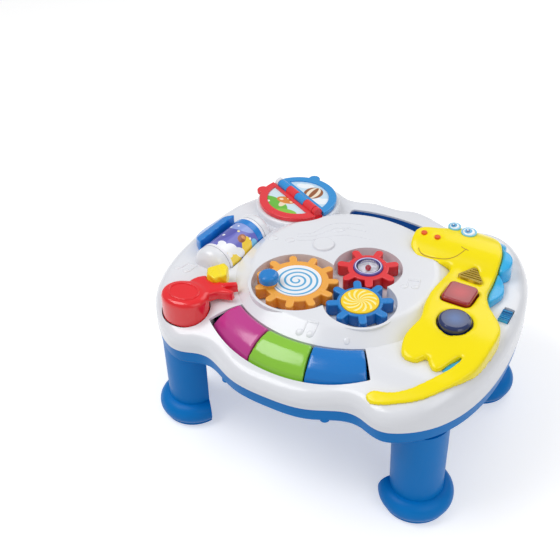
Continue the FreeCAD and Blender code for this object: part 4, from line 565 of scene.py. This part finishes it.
eye_print = plastic("eye_print", "F6FBFF", gloss=0.16, drift=0.02, grain=0.03, coat=0.6)
# The small white dot in each iris is a painted highlight.
printed(eye_print, add(eye_print.node_tree, "TexCoord").outputs["Object"], "F6FBFF", (
    (98.4, 103.4, 4.3, 4.9, 0, "3FA8DC"), (98.1, 103, 2.1, 2.8, 0, "1C5C94"), (97.2, 105, 0.9, 1, 0, "FFFFFF"),
    (80.4, 106.4, 3.4, 3.9, 0, "3FA8DC"), (80.1, 106, 1.7, 2.2, 0, "1C5C94"), (79.3, 107.6, 0.7, 0.8, 0, "FFFFFF"),
))
dress(eye_print, "dinosaur_eyes")
dress(plastic("eye_ring", "7CCBEC", gloss=0.25), "dinosaur_eye_rings")
dress(plastic("nostril_orange", "EE5A14", gloss=0.3), "dinosaur_nostrils")


def lens(name, dark, bright, x, y, reach):
    """A tinted lens that is brighter towards its middle, where the light below it shines through."""
    mat = plastic(name, dark, gloss=0.14, drift=0.05, grain=0.03, coat=0.7)
    tree = mat.node_tree
    distance, _ = turned_round(mat, x, y)
    colour_with(mat, coloured(tree, edge(tree, distance, reach * MM, 0), srgb(dark), srgb(bright)))
    return mat


dress(lens("lens_red", "9E1420", "C42A34", 127, 6, 18), "square_light_button")
dress(lens("lens_blue", "15285E", "2E5C9E", 138, -35.5, 16), "round_light_button")

grille_gold = plastic("grille_gold", "D0AC28", gloss=0.3, drift=0.08)
tree = grille_gold.node_tree
place = add(tree, "TexCoord").outputs["Object"]
axes = add(tree, "SeparateXYZ", {0: place}).outputs
mesh_pitch = 2 * math.pi / (1.8 * MM)
dots = reckon(tree, "MULTIPLY", reckon(tree, "SINE", reckon(tree, "MULTIPLY", axes["X"], mesh_pitch)),
              reckon(tree, "SINE", reckon(tree, "MULTIPLY", axes["Y"], mesh_pitch)))
# The holes are painted dark gold: painted shade inside them, and a bump dimples them.
holes = edge(tree, reckon(tree, "ABSOLUTE", dots), 0.3, 0.7)
colour_with(grille_gold, coloured(tree, holes, srgb("DCBA3C"), srgb("8A6C10")))
dimpled = add(tree, "Bump", {"Strength": 0.7, "Distance": 0.0005, "Height": holes,
                             "Normal": tree.nodes["skin"].outputs["Normal"]}, invert=True)
tree.links.new(dimpled.outputs["Normal"], tree.nodes["Principled BSDF"].inputs["Normal"])
dress(grille_gold, "speaker_grille")

# ---- Power switch ----
# A blue ribbed slider in a slot beside the panel moves the small switch that hangs below the lid.
# Its ridges are moulded across the way it slides, for a thumb.

switch_blue = plastic("switch_blue", "2496D8", gloss=0.3)
tree = switch_blue.node_tree
place = add(tree, "TexCoord").outputs["Object"]
across = add(tree, "SeparateXYZ", {0: place}).outputs["Y"]
ridges = reckon(tree, "SINE", reckon(tree, "MULTIPLY", across, 2 * math.pi / (2.6 * MM)))
# The grooves between the ridges are painted darker and the crests paler: painted shade and painted highlight.
colour_with(switch_blue, coloured(tree, edge(tree, ridges, -0.4, 0.4), srgb("1670B0"), srgb("34A6E6")))
gripped = add(tree, "Bump", {"Strength": 0.8, "Distance": 0.0008, "Height": ridges,
                             "Normal": tree.nodes["skin"].outputs["Normal"]})
tree.links.new(gripped.outputs["Normal"], tree.nodes["Principled BSDF"].inputs["Normal"])
dress(switch_blue, "power_switch_knob")

# ---- Screws, pins and axles ----
# All of these are zinc plated steel, a little cloudy and not polished.
# They hold the mouldings, and are the hinge pins, the drum's axle, the washers and the battery springs.


def metal(name, code, rough):
    mat = plastic(name, code, gloss=rough, drift=0.2, grain=0.5)
    mat.node_tree.nodes["Principled BSDF"].inputs["Metallic"].default_value = 1
    return mat


dress(metal("zinc_steel", "C4C6CA", 0.34), "housing_screws", "board_screws", "gear_screws", "gear_washers",
      "battery_door_screw", "key_pins", "flip_pin", "drum_axle", "battery_contacts")

# ---- Works inside the housing ----
# A phenolic main board carries the lights, and a smaller board lies under the keys.
# Beside them are a paper cone speaker, rubber pads, wires and three batteries.

board_green = plastic("board_green", "2E6E3C", gloss=0.35)
tree = board_green.node_tree
place = add(tree, "TexCoord").outputs["Object"]
tracks = add(tree, "TexBrick", {"Vector": place, "Scale": 160, "Mortar Size": 0.06,
                                "Color1": srgb("2E6E3C"), "Color2": srgb("27623A"), "Mortar": srgb("6FA05A")})
colour_with(board_green, tracks.outputs["Color"])
dress(board_green, "circuit_board", "key_board")
dress(plastic("battery_jacket", "2C3E50", gloss=0.3), "batteries")
dress(plastic("rubber_grey", "4A4C50", gloss=0.7, grain=0.6), "contact_pads", "bird_pad")
dress(plastic("cone_black", "26262A", gloss=0.65), "speaker")
dress(plastic("switch_case", "3A3A40", gloss=0.4), "power_switch")
dress(plastic("lamp_clear", "F4EEDC", gloss=0.12, through=0.6), "lights")
dress(plastic("wire_red", "B4282C", gloss=0.45), "wiring")

# ---- Floor, light and camera ----
# A white floor, three large soft boxes and a pale sky light the object evenly, as in a product picture.
# The camera stands in front of the right corner and looks down on the lid.

bpy.ops.mesh.primitive_plane_add(size=30)
floor = bpy.context.object
floor.name = "floor"
floor_white = bpy.data.materials.new("floor_white")
floor_white.use_nodes = True
tree = floor_white.node_tree
shader = tree.nodes["Principled BSDF"]
shader.inputs["Roughness"].default_value = 0.9
rays = add(tree, "LightPath").outputs
seen = reckon(tree, "MAXIMUM", rays["Is Camera Ray"],
              reckon(tree, "MAXIMUM", rays["Is Glossy Ray"], rays["Is Transmission Ray"]))
cloth = add(tree, "TexNoise", {"Vector": add(tree, "TexCoord").outputs["Object"], "Scale": 3}).outputs["Fac"]
paper = coloured(tree, cloth, (0.80, 0.80, 0.81, 1), (0.82, 0.82, 0.82, 1))
tree.links.new(paper, shader.inputs["Base Color"])
shader.inputs["Emission Color"].default_value = (1, 1, 1, 1)
tree.links.new(reckon(tree, "MULTIPLY", seen, 0.43), shader.inputs["Emission Strength"])
floor.data.materials.append(floor_white)

sky = bpy.data.worlds.new("studio")
sky.use_nodes = True
tree = sky.node_tree
rays = add(tree, "LightPath").outputs
tree.nodes["Background"].inputs["Color"].default_value = (1, 1, 1, 1)
tree.links.new(reckon(tree, "MULTIPLY_ADD", rays["Is Camera Ray"], 0.55, 0.45),
               tree.nodes["Background"].inputs["Strength"])
bpy.context.scene.world = sky
soft_boxes = (((-0.7, -0.5, 1.5), 0.9, 11), ((1.3, -0.6, 1.2), 1.2, 6), ((0.2, 1.3, 1.3), 1.2, 6))
for spot, size, power in soft_boxes:
    lamp = bpy.data.lights.new("softbox", "AREA")
    lamp.size = size
    lamp.energy = power
    holder = bpy.data.objects.new("softbox", lamp)
    holder.location = spot
    holder.rotation_euler = (Vector((0, 0, 0.12)) - Vector(spot)).to_track_quat("-Z", "Y").to_euler()
    bpy.context.collection.objects.link(holder)

camera_data = bpy.data.cameras.new("camera")
camera = bpy.data.objects.new("camera", camera_data)
bpy.context.collection.objects.link(camera)
bpy.context.scene.camera = camera
picture_side, focal_length, axis_x, axis_y = 560, 906.1, 321, 200
camera_data.sensor_width = 36
camera_data.lens = focal_length / picture_side * camera_data.sensor_width
camera_data.shift_x = (picture_side / 2 - axis_x) / picture_side
camera_data.shift_y = (axis_y - picture_side / 2) / picture_side
camera.location = (0.348, -0.693, 0.760)
azimuth, elevation = math.radians(28.6), math.radians(32.8)
way = Vector((-math.sin(azimuth) * math.cos(elevation), math.cos(azimuth) * math.cos(elevation),
              -math.sin(elevation)))
camera.rotation_euler = way.to_track_quat("-Z", "Y").to_euler()
bpy.context.scene.view_settings.view_transform = "Standard"
